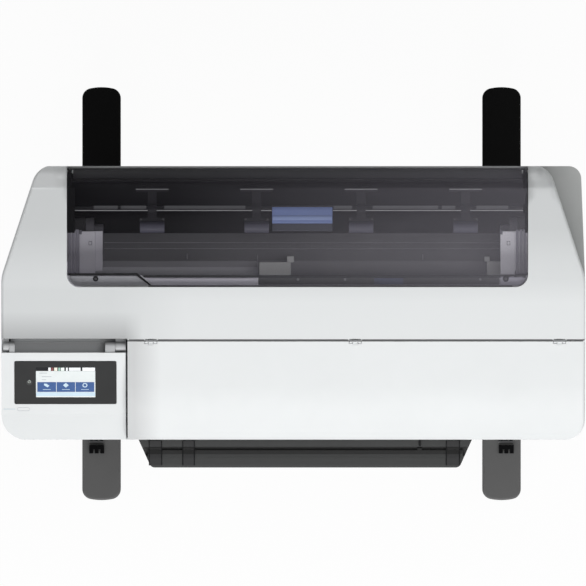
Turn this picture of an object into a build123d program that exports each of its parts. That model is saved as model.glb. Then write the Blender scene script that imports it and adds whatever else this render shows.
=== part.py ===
from build123d import *
import math
import os

# Large format printer on its stand, in millimetres.
# The origin is on the floor under the middle of the stand, +X to the right, -Y to the front, +Z up.

# Width that the stand, the body and the paper path follow
BODY_WIDTH = 970.0

# Stand
STAND_HEIGHT = 683.0
STAND_OFFSET = 14.0
FOOT_INSET = 147.0
FOOT_SPACING = BODY_WIDTH - 2 * FOOT_INSET
FOOT_LENGTH = 698.0
FOOT_WIDTH = 65.0
FOOT_HEIGHT = 36.0
FOOT_UNDERSIDE = 64.0
FOOT_END_BULGE = 6.0
FOOT_CORNER = 17.0
FOOT_EDGE = 3.5
REAR_COVER_START = 112.0
REAR_COVER_WALL = 4.0
COLUMN_WIDTH = 40.0
COLUMN_DEPTH = 120.0
COLUMN_CORNER = 12.0
COLUMN_Y = -8.0
SADDLE_THICKNESS = 18.0
SADDLE_WIDTH = 58.0
SADDLE_LENGTH = 360.0
CROSSBAR_THICKNESS = 22.0
CROSSBAR_HEIGHT = 90.0
CROSSBAR_Z = 410.0
CROSSBAR_CORNER = 6.0
SCREW_HEAD_RADIUS = 6.0
SCREW_HEAD_HEIGHT = 4.0
SCREW_SOCKET_RADIUS = 2.8
SCREW_SOCKET_DEPTH = 2.4
CROSSBAR_SCREW_PITCH = 50.0
SADDLE_SCREW_PITCH = 280.0
HOOK_WIDTH = 25.0
HOOK_LENGTH = 14.0
HOOK_HEIGHT = 9.0
HOOK_PRONGS = 3
HOOK_GAP = 2.8
HOOK_Y = -263.0
HOOK_OUTBOARD = 8.0

# Casters
WHEEL_RADIUS = 25.0
WHEEL_WIDTH = 14.0
WHEEL_EDGE = 2.5
CASTER_TRAIL = 18.0
CASTER_INSET = 49.0
CASTER_STEM_RADIUS = 5.0
CASTER_STEM_LENGTH = 22.0
CASTER_BODY_WIDTH = 12.0
CASTER_HOOD_RADIUS = 15.0
AXLE_RADIUS = 4.0
RUNNING_GAP = 0.05
SIDE_GAP = 1.0
PEDAL_WIDTH = 30.0
PEDAL_REACH = 24.0
PEDAL_THICKNESS = 3.5
PEDAL_PIN_RADIUS = 2.5
PEDAL_KNUCKLE_RADIUS = 5.0

# Printer body, seen from above and from the side
BODY_REAR = 212.0
BODY_FRONT = -243.0
BODY_HEIGHT = 231.3
SHOULDER_Y = 28.0
REAR_INSET = 61.0
REAR_HALF_WIDTH = BODY_WIDTH / 2 - REAR_INSET
POD_INSET = 7.0
POD_REAR_HALF_WIDTH = BODY_WIDTH / 2 - POD_INSET
POD_CORNER = 21.0
POD_HEIGHT = 170.0
SHOULDER_RADIUS = 60.0
REAR_CORNER = 38.0
REAR_OVERRUN = 2.0
FRONT_LEFT_CORNER = 40.0
FRONT_RIGHT_CORNER = 33.0
SHELL_WALL = 3.0
TOP_EDGE_RADIUS = 5.0
REAR_WALL_TOP = 206.0
REAR_ROLL_RADIUS = 24.0
CREASE_Y = 176.0
CREASE_Z = 224.0
CROWN_Y = 70.0
CROWN_RADIUS = 300.0
SEAM_Y = -79.0
SEAM_Z = 207.0
BROW_Y = -190.0
BROW_Z = 170.0
BROW_RADIUS = 250.0
NOSE_Z = 134.0
NOSE_RADIUS = 30.0
PAN_HEIGHT = 60.0
PAN_INSET = 2.0
PAN_WALL = 3.0

# Roll cover and the bay below it
LEFT_SHOULDER = 109.0
RIGHT_SHOULDER = 95.0
COVER_LEFT = LEFT_SHOULDER - BODY_WIDTH / 2
COVER_RIGHT = BODY_WIDTH / 2 - RIGHT_SHOULDER
COVER_FRONT = 11.0
COVER_CORNER = 21.0
COVER_GAP = 1.2
COVER_HINGE_Y = 202.0
COVER_HINGE_Z = 188.0
COVER_SKIRT_Z = 184.0
COVER_SLOT_Z = 177.0
COVER_PIN_RADIUS = 3.0
COVER_LUG_RADIUS = 6.0
COVER_LUG_WIDTH = 7.0
COVER_RAIL_DEPTH = 5.0
LEFT_RAIL_WIDTH = 12.0
RIGHT_RAIL_WIDTH = 4.0
RAIL_FRONT = 101.0
RIM_DEPTH = 13.0
BAY_REAR = 190.0
BAY_FRONT = 28.0
BAY_FLOOR = 52.0
BAY_WALL = 2.5
BAY_SIDE_GAP = 2.0
BAY_SLOPE_Y = 130.0
BAY_SLOPE_Z = 100.0
BAY_CORNER = 20.0
BAY_BEND = 30.0
BAY_SLOT_HEIGHT = 14.0

# Paper and roll
PAPER_CENTRE = 14.0
PAPER_MARGIN = 180.0
PAPER_WIDTH = BODY_WIDTH - 2 * PAPER_MARGIN
ADAPTER_ROOM = 25.0
ROLL_SPAN = PAPER_WIDTH + 2 * ADAPTER_ROOM
ROLL_Y = 90.5
ROLL_Z = 120.0
CORE_BOSS_RADIUS = 25.1
CORE_BOSS_LENGTH = 15.5
HUB_FLANGE_RADIUS = 36.0
HUB_FLANGE_WIDTH = 14.0
HUB_SHAFT_RADIUS = 5.0
SUPPORT_FRONT = 33.0
SUPPORT_REAR = 128.0
SUPPORT_TOP = 168.0
SUPPORT_BOTTOM = 76.0
HOOD_REAR = 104.0
HOOD_REACH = 17.5
HOOD_THICKNESS = 8.0
LIP_REACH = 12.0
LIP_DROP = 4.0

# Pressure bar over the roll
BAR_Y = 141.0
BAR_Z = 200.0
BAR_RADIUS = 4.0
HANGER_RADIUS = 8.0
HANGER_WIDTH = 7.0
BAR_RECESS = 3.0
ARM_COUNT = 4
ARM_MARGIN = 44.6
ARM_PITCH = (PAPER_WIDTH - 2 * ARM_MARGIN) / (ARM_COUNT - 1)
ARM_CENTRE = 26.0
ARM_TAIL = 33.0
ARM_TAIL_WIDTH = 55.0
ARM_STEM_WIDTH = 15.0
ARM_THICKNESS = 5.0
ARM_REACH = 30.0
ARM_DROP = 14.0
ROLLER_RADIUS = 8.0
ROLLER_WIDTH = 30.0
ROLLER_SHAFT_RADIUS = 2.0
ROLLER_CHEEK = 4.0
GRIP_CLEARANCE = 36.8
GRIP_WIDTH = ARM_PITCH - 2 * GRIP_CLEARANCE
GRIP_LENGTH = 27.0
GRIP_THICKNESS = 13.0
GRIP_CENTRE = 15.0
GRIP_SETBACK = 2.5

# Front cover
PANEL_BAY_WIDTH = 209.5
COVER_SPLIT_X = PANEL_BAY_WIDTH - BODY_WIDTH / 2
FRONT_COVER_BOTTOM = 63.0
FRONT_HINGE_SINK = 1.2
FRONT_SEAM_LEAD = 0.3
FRONT_SEAM_TRAIL = 1.3
KNUCKLE_RADIUS = 3.6
KNUCKLE_GAP = 0.7
KNUCKLE_WIDTH = 8.0
KNUCKLE_SIDE_WIDTH = 5.0
KNUCKLE_COUNT = 3
LEFT_KNUCKLE_INSET = 39.0
RIGHT_KNUCKLE_INSET = 42.5
FIRST_KNUCKLE_X = COVER_SPLIT_X + LEFT_KNUCKLE_INSET
LAST_KNUCKLE_X = BODY_WIDTH / 2 - RIGHT_KNUCKLE_INSET
FRONT_PIN_RADIUS = 1.5
SIDE_BAND_DEPTH = 45.0

# Control panel
PANEL_SIDE_GAP = 3.0
PANEL_RIGHT = COVER_SPLIT_X - PANEL_SIDE_GAP
PANEL_REAR = -98.0
PANEL_REAR_Z = 193.5
PANEL_BEND = -200.5
PANEL_BEND_Z = 141.0
PANEL_NOSE_Z = 98.0
PANEL_BOTTOM = 74.0
PANEL_THICKNESS = 20.0
PANEL_WALL = 3.0
PANEL_GAP = 2.0
GROOVE_REAR = -74.0
GROOVE_Z = 174.0
GROOVE_RADIUS = 10.0
PANEL_HINGE_Y = -88.0
PANEL_HINGE_Z = 184.0
PANEL_KNUCKLE_RADIUS = 8.0
PANEL_PIN_RADIUS = 3.0
LEFT_KNUCKLE_WIDTH = 9.5
RIGHT_KNUCKLE_WIDTH = 17.0
BEZEL_WIDTH = 169.4
BEZEL_LENGTH = 80.0
BEZEL_THICKNESS = 2.6
BEZEL_PROUD = 0.4
BEZEL_CORNER = 3.0
BEZEL_INSET = 100.3
BEZEL_CENTRE_X = PANEL_RIGHT - BEZEL_INSET
BEZEL_CENTRE_Y = -147.8
DISPLAY_WIDTH = 98.7
DISPLAY_LENGTH = 54.5
DISPLAY_THICKNESS = 1.2
DISPLAY_OFFSET_X = 0.4
BUTTON_RADIUS = 5.0
BUTTON_HEIGHT = 5.0
BUTTON_OFFSET_X = -60.0
BUTTON_GAP = 0.08

# Print engine
PAPER_PLANE = 75.0
FRAME_THICKNESS = 3.0
LEFT_FRAME_INSET = 147.0
RIGHT_FRAME_INSET = 21.0
LEFT_FRAME_X = LEFT_FRAME_INSET - BODY_WIDTH / 2
RIGHT_FRAME_X = BODY_WIDTH / 2 - RIGHT_FRAME_INSET
FRAME_REAR = 8.0
FRAME_FRONT = -228.0
FRAME_TOP = 180.0
FEED_Y = -20.0
FEED_RADIUS = 12.0
FEED_SHAFT_RADIUS = 5.0
PINCH_RADIUS = 6.0
PINCH_SHAFT_RADIUS = 2.5
PINCH_GAP = 0.4
OUTPUT_Y = -158.0
OUTPUT_RADIUS = 7.0
OUTPUT_SHAFT_RADIUS = 4.0
PLATEN_REAR = -38.0
PLATEN_FRONT = -146.0
PLATEN_THICKNESS = 14.0
PLATEN_RIB = 2.0
PLATEN_RIB_COUNT = 14
GEAR_MODULE = 1.5
GEAR_TEETH = 40
PINION_TEETH = 16
GEAR_ROOT_DEPTH = 1.25
GEAR_TOOTH_SLOPE = 20.0
GEAR_WIDTH = 6.0
GEAR_FRAME_GAP = 2.0
GEAR_BACKLASH = 0.35
PINION_ANGLE = 225.0
MOTOR_RADIUS = 20.0
MOTOR_LENGTH = 36.0
MOTOR_LEG_RADIUS = 1.8
MOTOR_LEG_TURN = 60.0
MOTOR_SHAFT_RADIUS = 2.5
GUIDE_Y = -72.0
GUIDE_Z = 108.0
GUIDE_RADIUS = 6.0
RAIL_Y = -34.0
RAIL_THICKNESS = 8.0
RAIL_BOTTOM = 98.0
RAIL_TOP = 166.0
BELT_Y = -53.0
BELT_Z = 150.0
BELT_WIDTH = 6.0
BELT_THICKNESS = 1.2
PULLEY_RADIUS = 8.0
PULLEY_FLANGE = 1.5
DRIVE_PULLEY_REACH = 22.0
IDLER_PULLEY_REACH = 12.0
DRIVE_PULLEY_X = LEFT_FRAME_X - DRIVE_PULLEY_REACH
IDLER_PULLEY_X = RIGHT_FRAME_X - IDLER_PULLEY_REACH
BELT_GAP = 0.5
HOME_REACH = 79.0
CARRIAGE_HOME = RIGHT_FRAME_X - HOME_REACH
CARRIAGE_WIDTH = 110.0
CARRIAGE_REAR = -60.0
CARRIAGE_FRONT = -128.0
CARRIAGE_BOTTOM = 81.0
CARRIAGE_TOP = 140.0
CARRIAGE_CORNER = 6.0
HEAD_WIDTH = 60.0
HEAD_LENGTH = 44.0
HEAD_GAP = 2.0
CLAMP_WIDTH = 16.0
CLAMP_LENGTH = 10.0
CLAMP_TOP = 158.0
CAP_WIDTH = 74.0
CAP_LENGTH = 56.0
CAP_HEIGHT = 22.0
CAP_GAP = 0.5
CAP_LIP = 3.0
WASTE_BOX_WIDTH = 112.0
WASTE_BOX_LENGTH = 92.0
WASTE_BOX_HEIGHT = 28.0
INK_COUNT = 4
INK_WIDTH = 22.0
INK_GAP = 4.0
INK_DEPTH = 54.0
INK_HEIGHT = 76.0
INK_BAY_WALL = 2.5
INK_BAY_FRONT = -232.0
INK_BAY_BOTTOM = 20.0

# Output guide in front
GUIDE_LEFT_INSET = 17.5
GUIDE_RIGHT_INSET = 187.0
GUIDE_LEFT = COVER_SPLIT_X + GUIDE_LEFT_INSET
GUIDE_RIGHT = BODY_WIDTH / 2 - GUIDE_RIGHT_INSET
GUIDE_TAPER = 21.0
GUIDE_FRONT = -290.0
CHUTE_REAR = -174.0
CHUTE_REAR_Z = 70.0
CHUTE_LIP_Z = 50.0
CHUTE_WALL = 3.0
GUIDE_STEP = 10.0
GUIDE_GROOVE_Y = -255.0
GUIDE_GROOVE_WIDTH = 13.0
GUIDE_BOTTOM = 12.0
RIB_WIDTH = 12.0
RIB_DEPTH = 4.0
RIB_INSETS = (24.0, 83.5, 32.0)
RIB_POSITIONS = (GUIDE_LEFT + RIB_INSETS[0], GUIDE_LEFT + RIB_INSETS[1], GUIDE_RIGHT - RIB_INSETS[2])

# Electrics
BOARD_THICKNESS = 1.6
BOARD_WIDTH = 46.0
BOARD_LENGTH = 140.0
BOARD_Z = 12.0
BOARD_PARTS = 3
SUPPLY_WIDTH = 66.0
SUPPLY_LENGTH = 150.0
SUPPLY_HEIGHT = 44.0
INLET_WIDTH = 27.0
INLET_HEIGHT = 20.0
INLET_DEPTH = 22.0
INLET_HOLLOW = 17.0
SOCKET_WALL = 2.5
PIN_SIZE = 2.0
PIN_LENGTH = 11.0
PIN_PITCH = 7.0
PIN_RISE = 2.5
INLET_Z = 92.0
SOCKET_INSET = 37.0
SOCKET_X = BODY_WIDTH / 2 - SOCKET_INSET
LAN_Z = 125.0
LAN_SIZE = 14.0
USB_Z = 148.0
USB_SIZE = 11.0
SOCKET_DEPTH = 18.0
SOCKET_HOLLOW = 13.0


def height(local):
    """Height above the floor of a place measured up from the printer's underside."""
    return STAND_HEIGHT + local


def block(x_low, x_high, y_low, y_high, z_low, z_high):
    """Upright box between two corners."""
    middle = ((x_low + x_high) / 2, (y_low + y_high) / 2, (z_low + z_high) / 2)
    return Pos(*middle) * Box(x_high - x_low, y_high - y_low, z_high - z_low)


def rod_x(radius, x_low, x_high, y, z):
    """Round bar along X."""
    return Pos((x_low + x_high) / 2, y, z) * Rot(0, 90, 0) * Cylinder(radius, x_high - x_low)


def rod_z(radius, x, y, z_low, z_high):
    """Round bar along Z."""
    return Pos(x, y, (z_low + z_high) / 2) * Cylinder(radius, z_high - z_low)


def rounded_outline(corners):
    """Flat face through (x, y, radius) corners, each rounded by its own radius."""
    points = [Vector(x, y) for x, y, _ in corners]
    edges = []
    starts = []
    ends = []
    for index, (_, _, radius) in enumerate(corners):
        corner = points[index]
        before = (points[index - 1] - corner).normalized()
        after = (points[(index + 1) % len(points)] - corner).normalized()
        if radius <= 0:
            starts.append(corner)
            ends.append(corner)
            continue
        half = math.acos(max(-1.0, min(1.0, before.dot(after)))) / 2
        reach = radius / math.tan(half)
        inward = (before + after).normalized()
        middle = corner + inward * (radius / math.sin(half) - radius)
        starts.append(corner + before * reach)
        ends.append(corner + after * reach)
        edges.append(ThreePointArc(starts[-1], middle, ends[-1]))
    for index in range(len(points)):
        edges.append(Line(ends[index - 1], starts[index]))
    return make_face(edges)


def extrude_x(face, x_low, x_high):
    """Solid from a side profile, drawn as (Y, Z), between two X places."""
    return extrude(Plane.YZ.offset(x_low) * face, x_high - x_low)


def extrude_z(face, z_low, z_high):
    """Solid from a plan outline between two heights."""
    return extrude(Pos(0, 0, z_low) * face, z_high - z_low)


def save(node, shape):
    """One file per named piece."""
    solids = shape.solids()
    export_step(solids[0] if len(solids) == 1 else Compound(children=list(solids)), f"parts/{node}.step")


def upper_outline():
    """Plan of the white housing: wide in front, drawn in towards the rear."""
    half = BODY_WIDTH / 2
    return rounded_outline([
        (-half, BODY_FRONT, FRONT_LEFT_CORNER),
        (half, BODY_FRONT, FRONT_RIGHT_CORNER),
        (half, SHOULDER_Y, SHOULDER_RADIUS),
        (REAR_HALF_WIDTH, BODY_REAR + REAR_OVERRUN, REAR_CORNER),
        (-REAR_HALF_WIDTH, BODY_REAR + REAR_OVERRUN, REAR_CORNER),
        (-half, SHOULDER_Y, SHOULDER_RADIUS),
    ])


def lower_outline():
    """Plan of the lower casing: as the housing, but with the full right rear corner."""
    half = BODY_WIDTH / 2
    return rounded_outline([
        (-half, BODY_FRONT, FRONT_LEFT_CORNER),
        (half, BODY_FRONT, FRONT_RIGHT_CORNER),
        (half, SHOULDER_Y, SHOULDER_RADIUS),
        (POD_REAR_HALF_WIDTH, BODY_REAR, POD_CORNER),
        (-REAR_HALF_WIDTH, BODY_REAR, REAR_CORNER),
        (-half, SHOULDER_Y, SHOULDER_RADIUS),
    ])


def side_profile():
    """Side view of the body's skin, carried on below the body so that the bottom stays open."""
    return rounded_outline([
        (BODY_REAR, 0, 0),
        (BODY_REAR, height(REAR_WALL_TOP), REAR_ROLL_RADIUS),
        (CREASE_Y, height(CREASE_Z), 0),
        (CROWN_Y, height(BODY_HEIGHT), CROWN_RADIUS),
        (SEAM_Y, height(SEAM_Z), 0),
        (BROW_Y, height(BROW_Z), BROW_RADIUS),
        (BODY_FRONT, height(NOSE_Z), NOSE_RADIUS),
        (BODY_FRONT, 0, 0),
    ])


def body_form(inset):
    """The closed form of the white body, drawn in all round by an inset."""
    profile = offset(side_profile(), amount=-inset, kind=Kind.INTERSECTION) if inset else side_profile()
    outline = offset(upper_outline(), amount=-inset, kind=Kind.INTERSECTION) if inset else upper_outline()
    form = extrude_x(profile, -BODY_WIDTH, BODY_WIDTH)
    form = form & extrude_z(outline, height(0), height(2 * BODY_HEIGHT))
    if inset:
        return form
    return fillet(form.edges().filter_by(is_top_rim), TOP_EDGE_RADIUS)


def is_top_rim(edge):
    """True for the edges where the top surfaces meet the side walls."""
    middle = edge.position_at(0.5)
    level = abs(edge.position_at(0).X - edge.position_at(1).X) > BODY_WIDTH / 2
    upright = edge.position_at(0).Z < height(1) or edge.position_at(1).Z < height(1)
    return middle.Z > height(NOSE_Z / 2) and not level and not upright


def opening_outline(inset):
    """Plan of the roll cover's opening, open past the rear wall."""
    return rounded_outline([
        (COVER_LEFT + inset, COVER_FRONT + inset, COVER_CORNER),
        (COVER_RIGHT - inset, COVER_FRONT + inset, COVER_CORNER),
        (COVER_RIGHT - inset, BODY_REAR + SHELL_WALL, 0),
        (COVER_LEFT + inset, BODY_REAR + SHELL_WALL, 0),
    ])


def panel_profile(drop, inset, depth):
    """Side view of the control panel's plate: its top line lowered by a drop, down to a depth below it."""
    front = BODY_FRONT + inset
    lower = PANEL_BOTTOM - (depth if drop else 0)
    return rounded_outline([
        (PANEL_REAR - inset, height(PANEL_REAR_Z - drop), 0),
        (PANEL_REAR - inset, height(PANEL_REAR_Z - depth), 0),
        (PANEL_BEND, height(PANEL_BEND_Z - depth), 0),
        (BODY_FRONT + PANEL_THICKNESS / 2, height(PANEL_NOSE_Z - depth), 0),
        (BODY_FRONT + PANEL_THICKNESS / 2, height(lower), 0),
        (front, height(lower), 0),
        (front, height(PANEL_NOSE_Z - drop), 0),
        (PANEL_BEND, height(PANEL_BEND_Z - drop), 0),
    ])


def panel_zone(extra):
    """The space of the panel and its groove, cut out of the housing with a little room round it."""
    depth = PANEL_THICKNESS + extra
    start_z = PANEL_REAR_Z - GROOVE_RADIUS * math.tan(panel_angle()) - depth
    profile = rounded_outline([
        (GROOVE_REAR, height(BODY_HEIGHT), 0),
        (GROOVE_REAR - extra, height(GROOVE_Z - extra), GROOVE_RADIUS),
        (PANEL_REAR - GROOVE_RADIUS, height(start_z), 0),
        (PANEL_BEND, height(PANEL_BEND_Z - depth), 0),
        (BODY_FRONT + PANEL_THICKNESS / 2 + extra, height(PANEL_NOSE_Z - depth), 0),
        (BODY_FRONT + PANEL_THICKNESS / 2 + extra, height(PANEL_BOTTOM - extra), 0),
        (BODY_FRONT - PANEL_THICKNESS, height(PANEL_BOTTOM - extra), 0),
        (BODY_FRONT - PANEL_THICKNESS, height(BODY_HEIGHT), 0),
    ])
    return extrude_x(profile, -BODY_WIDTH, COVER_SPLIT_X)


def knuckle_places():
    """X places of the front cover's hinges."""
    pitch = (LAST_KNUCKLE_X - FIRST_KNUCKLE_X) / (KNUCKLE_COUNT - 1)
    return [FIRST_KNUCKLE_X + pitch * index for index in range(KNUCKLE_COUNT)]


def front_axis():
    """Y and Z of the front cover's hinge."""
    return SEAM_Y, height(SEAM_Z - FRONT_HINGE_SINK)


def foot_outline(width_cut, y_low, y_high):
    """Plan of a foot between two Y places, with softly bulging ends."""
    half = FOOT_WIDTH / 2
    end = FOOT_LENGTH / 2
    shoulder = end - FOOT_END_BULGE
    edges = [
        Line((-half, -shoulder), (-half, shoulder)),
        ThreePointArc((-half, shoulder), (0, end), (half, shoulder)),
        Line((half, shoulder), (half, -shoulder)),
        ThreePointArc((half, -shoulder), (0, -end), (-half, -shoulder)),
    ]
    plan = make_face(edges)
    plan = fillet(plan.vertices(), FOOT_CORNER)
    if width_cut:
        plan = offset(plan, amount=-width_cut, kind=Kind.INTERSECTION)
    window = Pos(0, (y_low + y_high) / 2) * Rectangle(2 * FOOT_WIDTH, y_high - y_low)
    return plan & window


def foot_form(cut, y_low, y_high):
    """Upright foot solid, its upper edge rounded where it isn't cut down."""
    plan = foot_outline(cut, -FOOT_LENGTH, FOOT_LENGTH)
    solid = extrude_z(plan, FOOT_UNDERSIDE, FOOT_UNDERSIDE + FOOT_HEIGHT - cut)
    if not cut:
        solid = fillet(solid.edges().group_by(Axis.Z)[-1], FOOT_EDGE)
    return solid & block(-FOOT_WIDTH, FOOT_WIDTH, y_low, y_high, 0, STAND_HEIGHT)


def foot_centres():
    """X places of the left and right foot."""
    return STAND_OFFSET - FOOT_SPACING / 2, STAND_OFFSET + FOOT_SPACING / 2


def caster_places():
    """Name, X, Y and trail direction of each caster."""
    left, right = foot_centres()
    reach = FOOT_LENGTH / 2 - CASTER_INSET
    return [
        ("front_left", left, -reach, 1),
        ("front_right", right, -reach, 1),
        ("rear_left", left, reach, -1),
        ("rear_right", right, reach, -1),
    ]


def foot(x):
    """Foot beam with a narrower tongue under the rear cover and a bored seat for each caster."""
    front = foot_form(0, -FOOT_LENGTH, REAR_COVER_START)
    tongue = foot_form(REAR_COVER_WALL, REAR_COVER_START, FOOT_LENGTH)
    solid = front + tongue
    reach = FOOT_LENGTH / 2 - CASTER_INSET
    for y in (-reach, reach):
        bore_top = FOOT_UNDERSIDE + CASTER_STEM_LENGTH + SIDE_GAP
        solid -= rod_z(CASTER_STEM_RADIUS + RUNNING_GAP, 0, y, 0, bore_top)
    return Pos(x, 0, 0) * solid


def rear_foot_covers():
    """Two caps over the rear halves of the feet."""
    cap = foot_form(0, REAR_COVER_START, FOOT_LENGTH) - foot_form(REAR_COVER_WALL, 0, FOOT_LENGTH)
    left, right = foot_centres()
    return Compound(children=[Pos(left, 0, 0) * cap.solid(), Pos(right, 0, 0) * cap.solid()])


def column(x):
    """Upright post with the saddle plate that the printer is screwed to."""
    foot_top = FOOT_UNDERSIDE + FOOT_HEIGHT
    saddle_base = STAND_HEIGHT - SADDLE_THICKNESS
    post = extrude_z(RectangleRounded(COLUMN_WIDTH, COLUMN_DEPTH, COLUMN_CORNER), foot_top, saddle_base)
    plate = RectangleRounded(SADDLE_WIDTH, SADDLE_LENGTH, COLUMN_CORNER)
    return Pos(x, COLUMN_Y, 0) * (post + extrude_z(plate, saddle_base, STAND_HEIGHT))


def crossbar():
    """Beam that ties the two columns."""
    left, right = foot_centres()
    section = Rectangle(CROSSBAR_THICKNESS, CROSSBAR_HEIGHT)
    section = fillet(section.vertices(), CROSSBAR_CORNER)
    middle = Pos(COLUMN_Y, CROSSBAR_Z) * section
    return extrude_x(middle, left + COLUMN_WIDTH / 2, right - COLUMN_WIDTH / 2)


def socket_screw():
    """Screw head with a hexagon socket, standing on the plane below it."""
    head = Pos(0, 0, SCREW_HEAD_HEIGHT / 2) * Cylinder(SCREW_HEAD_RADIUS, SCREW_HEAD_HEIGHT)
    socket = Pos(0, 0, SCREW_HEAD_HEIGHT - SCREW_SOCKET_DEPTH) * RegularPolygon(SCREW_SOCKET_RADIUS, 6)
    return head - extrude(socket, SCREW_SOCKET_DEPTH)


def stand_screws():
    """Screw heads on the outer sides of the columns and under the saddle plates."""
    left, right = foot_centres()
    screws = []
    for x, turn in ((left - COLUMN_WIDTH / 2, -90), (right + COLUMN_WIDTH / 2, 90)):
        for side in (-1, 1):
            place = Pos(x, COLUMN_Y, CROSSBAR_Z + side * CROSSBAR_SCREW_PITCH / 2)
            screws.append(place * Rot(0, turn, 0) * socket_screw())
    for x in (left, right):
        for side in (-1, 1):
            place = Pos(x, COLUMN_Y + side * SADDLE_SCREW_PITCH / 2, STAND_HEIGHT - SADDLE_THICKNESS)
            screws.append(place * Rot(180, 0, 0) * socket_screw())
    return Compound(children=[screw.solid() for screw in screws])


def cable_hooks():
    """Three-pronged hook on each foot."""
    foot_top = FOOT_UNDERSIDE + FOOT_HEIGHT
    left, right = foot_centres()
    pitch = (HOOK_WIDTH + HOOK_GAP) / HOOK_PRONGS
    hook = block(-HOOK_WIDTH / 2, HOOK_WIDTH / 2, 0, HOOK_LENGTH, 0, HOOK_HEIGHT)
    for index in range(1, HOOK_PRONGS):
        x = -HOOK_WIDTH / 2 + pitch * index - HOOK_GAP / 2
        hook -= block(x - HOOK_GAP / 2, x + HOOK_GAP / 2, 0, HOOK_LENGTH / 2, 0, HOOK_HEIGHT)
    hook = hook.solid()
    hooks = []
    for x in (left - HOOK_OUTBOARD, right + HOOK_OUTBOARD):
        hooks.append(Pos(x, HOOK_Y - HOOK_LENGTH / 2, foot_top) * hook)
    return Compound(children=hooks)


def caster_fork(x, y, trail):
    """Swivel body of a caster: stem, hood and the block between its two wheels."""
    axle_y = trail * CASTER_TRAIL
    top = FOOT_UNDERSIDE - SIDE_GAP
    hub = rod_x(CASTER_HOOD_RADIUS, -CASTER_BODY_WIDTH / 2, CASTER_BODY_WIDTH / 2, axle_y, WHEEL_RADIUS)
    neck = block(
        -CASTER_BODY_WIDTH / 2, CASTER_BODY_WIDTH / 2,
        min(-CASTER_HOOD_RADIUS * trail, axle_y), max(-CASTER_HOOD_RADIUS * trail, axle_y),
        WHEEL_RADIUS, top - CASTER_BODY_WIDTH / 2,
    )
    head = rod_z(CASTER_HOOD_RADIUS, 0, 0, 2 * WHEEL_RADIUS + SIDE_GAP, top)
    stem = rod_z(CASTER_STEM_RADIUS, 0, 0, top - SIDE_GAP, FOOT_UNDERSIDE + CASTER_STEM_LENGTH)
    bore = rod_x(AXLE_RADIUS + RUNNING_GAP, -FOOT_WIDTH, FOOT_WIDTH, axle_y, WHEEL_RADIUS)
    return Pos(x, y, 0) * (hub + neck + head + stem - bore)


def caster_wheel(x, y, trail):
    """Twin wheel on its axle."""
    inner = CASTER_BODY_WIDTH / 2 + SIDE_GAP
    outer = inner + WHEEL_WIDTH
    axle = rod_x(AXLE_RADIUS, -outer, outer, 0, 0)
    solid = axle
    for side in (-1, 1):
        tyre = rod_x(WHEEL_RADIUS, min(side * inner, side * outer), max(side * inner, side * outer), 0, 0)
        solid += fillet(tyre.edges().filter_by(GeomType.CIRCLE), WHEEL_EDGE)
    return Pos(x, y + trail * CASTER_TRAIL, WHEEL_RADIUS) * solid


def pedal_axis(trail):
    """Y, from the stem, and Z of a brake pedal's pin."""
    return -trail * (CASTER_HOOD_RADIUS + PEDAL_KNUCKLE_RADIUS), FOOT_UNDERSIDE - CASTER_HOOD_RADIUS


def pedal_bracket(x, y, trail):
    """Ear on the caster's neck that carries the pedal's pin, with the pin pressed through it."""
    pin_y, pin_z = pedal_axis(trail)
    half = CASTER_BODY_WIDTH / 2
    ear = rod_x(PEDAL_KNUCKLE_RADIUS, -half, half, pin_y, pin_z)
    web = block(-half, half, min(pin_y, 0), max(pin_y, 0), pin_z - half / 2, pin_z + half / 2)
    pin = rod_x(PEDAL_PIN_RADIUS, -PEDAL_WIDTH / 2, PEDAL_WIDTH / 2, pin_y, pin_z)
    return Pos(x, y, 0) * (ear + web + pin)


def brake_pedal(x, y, trail):
    """Foot lever with a cheek on each side of the caster's ear."""
    pin_y, pin_z = pedal_axis(trail)
    inner = CASTER_BODY_WIDTH / 2 + SIDE_GAP
    far = pin_y - trail * PEDAL_REACH
    near = pin_y - trail * (PEDAL_KNUCKLE_RADIUS + SIDE_GAP)
    tread = block(-PEDAL_WIDTH / 2, PEDAL_WIDTH / 2, min(far, near), max(far, near),
                  pin_z - PEDAL_THICKNESS / 2, pin_z + PEDAL_THICKNESS / 2)
    solid = tread
    for side in (-1, 1):
        low = min(side * inner, side * PEDAL_WIDTH / 2)
        high = max(side * inner, side * PEDAL_WIDTH / 2)
        solid += rod_x(PEDAL_KNUCKLE_RADIUS, low, high, pin_y, pin_z)
        solid += block(low, high, min(near, pin_y), max(near, pin_y),
                       pin_z - PEDAL_THICKNESS / 2, pin_z + PEDAL_THICKNESS / 2)
    solid -= rod_x(PEDAL_PIN_RADIUS + RUNNING_GAP, -PEDAL_WIDTH, PEDAL_WIDTH, pin_y, pin_z)
    return Pos(x, y, 0) * solid


def base_pan():
    """Dark lower casing: floor, side walls and a low front wall under the output slot."""
    plan = offset(lower_outline(), amount=-PAN_INSET, kind=Kind.INTERSECTION)
    hollow = offset(plan, amount=-PAN_WALL, kind=Kind.INTERSECTION)
    pan = extrude_z(plan, height(0), height(PAN_HEIGHT))
    pan -= extrude_z(hollow, height(PAN_WALL), height(PAN_HEIGHT))
    slot = block(GUIDE_LEFT - COVER_GAP, GUIDE_RIGHT + COVER_GAP, BODY_FRONT - PAN_WALL,
                 BODY_FRONT + 3 * PAN_WALL, height(GUIDE_BOTTOM), height(PAN_HEIGHT))
    return pan - slot


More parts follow.
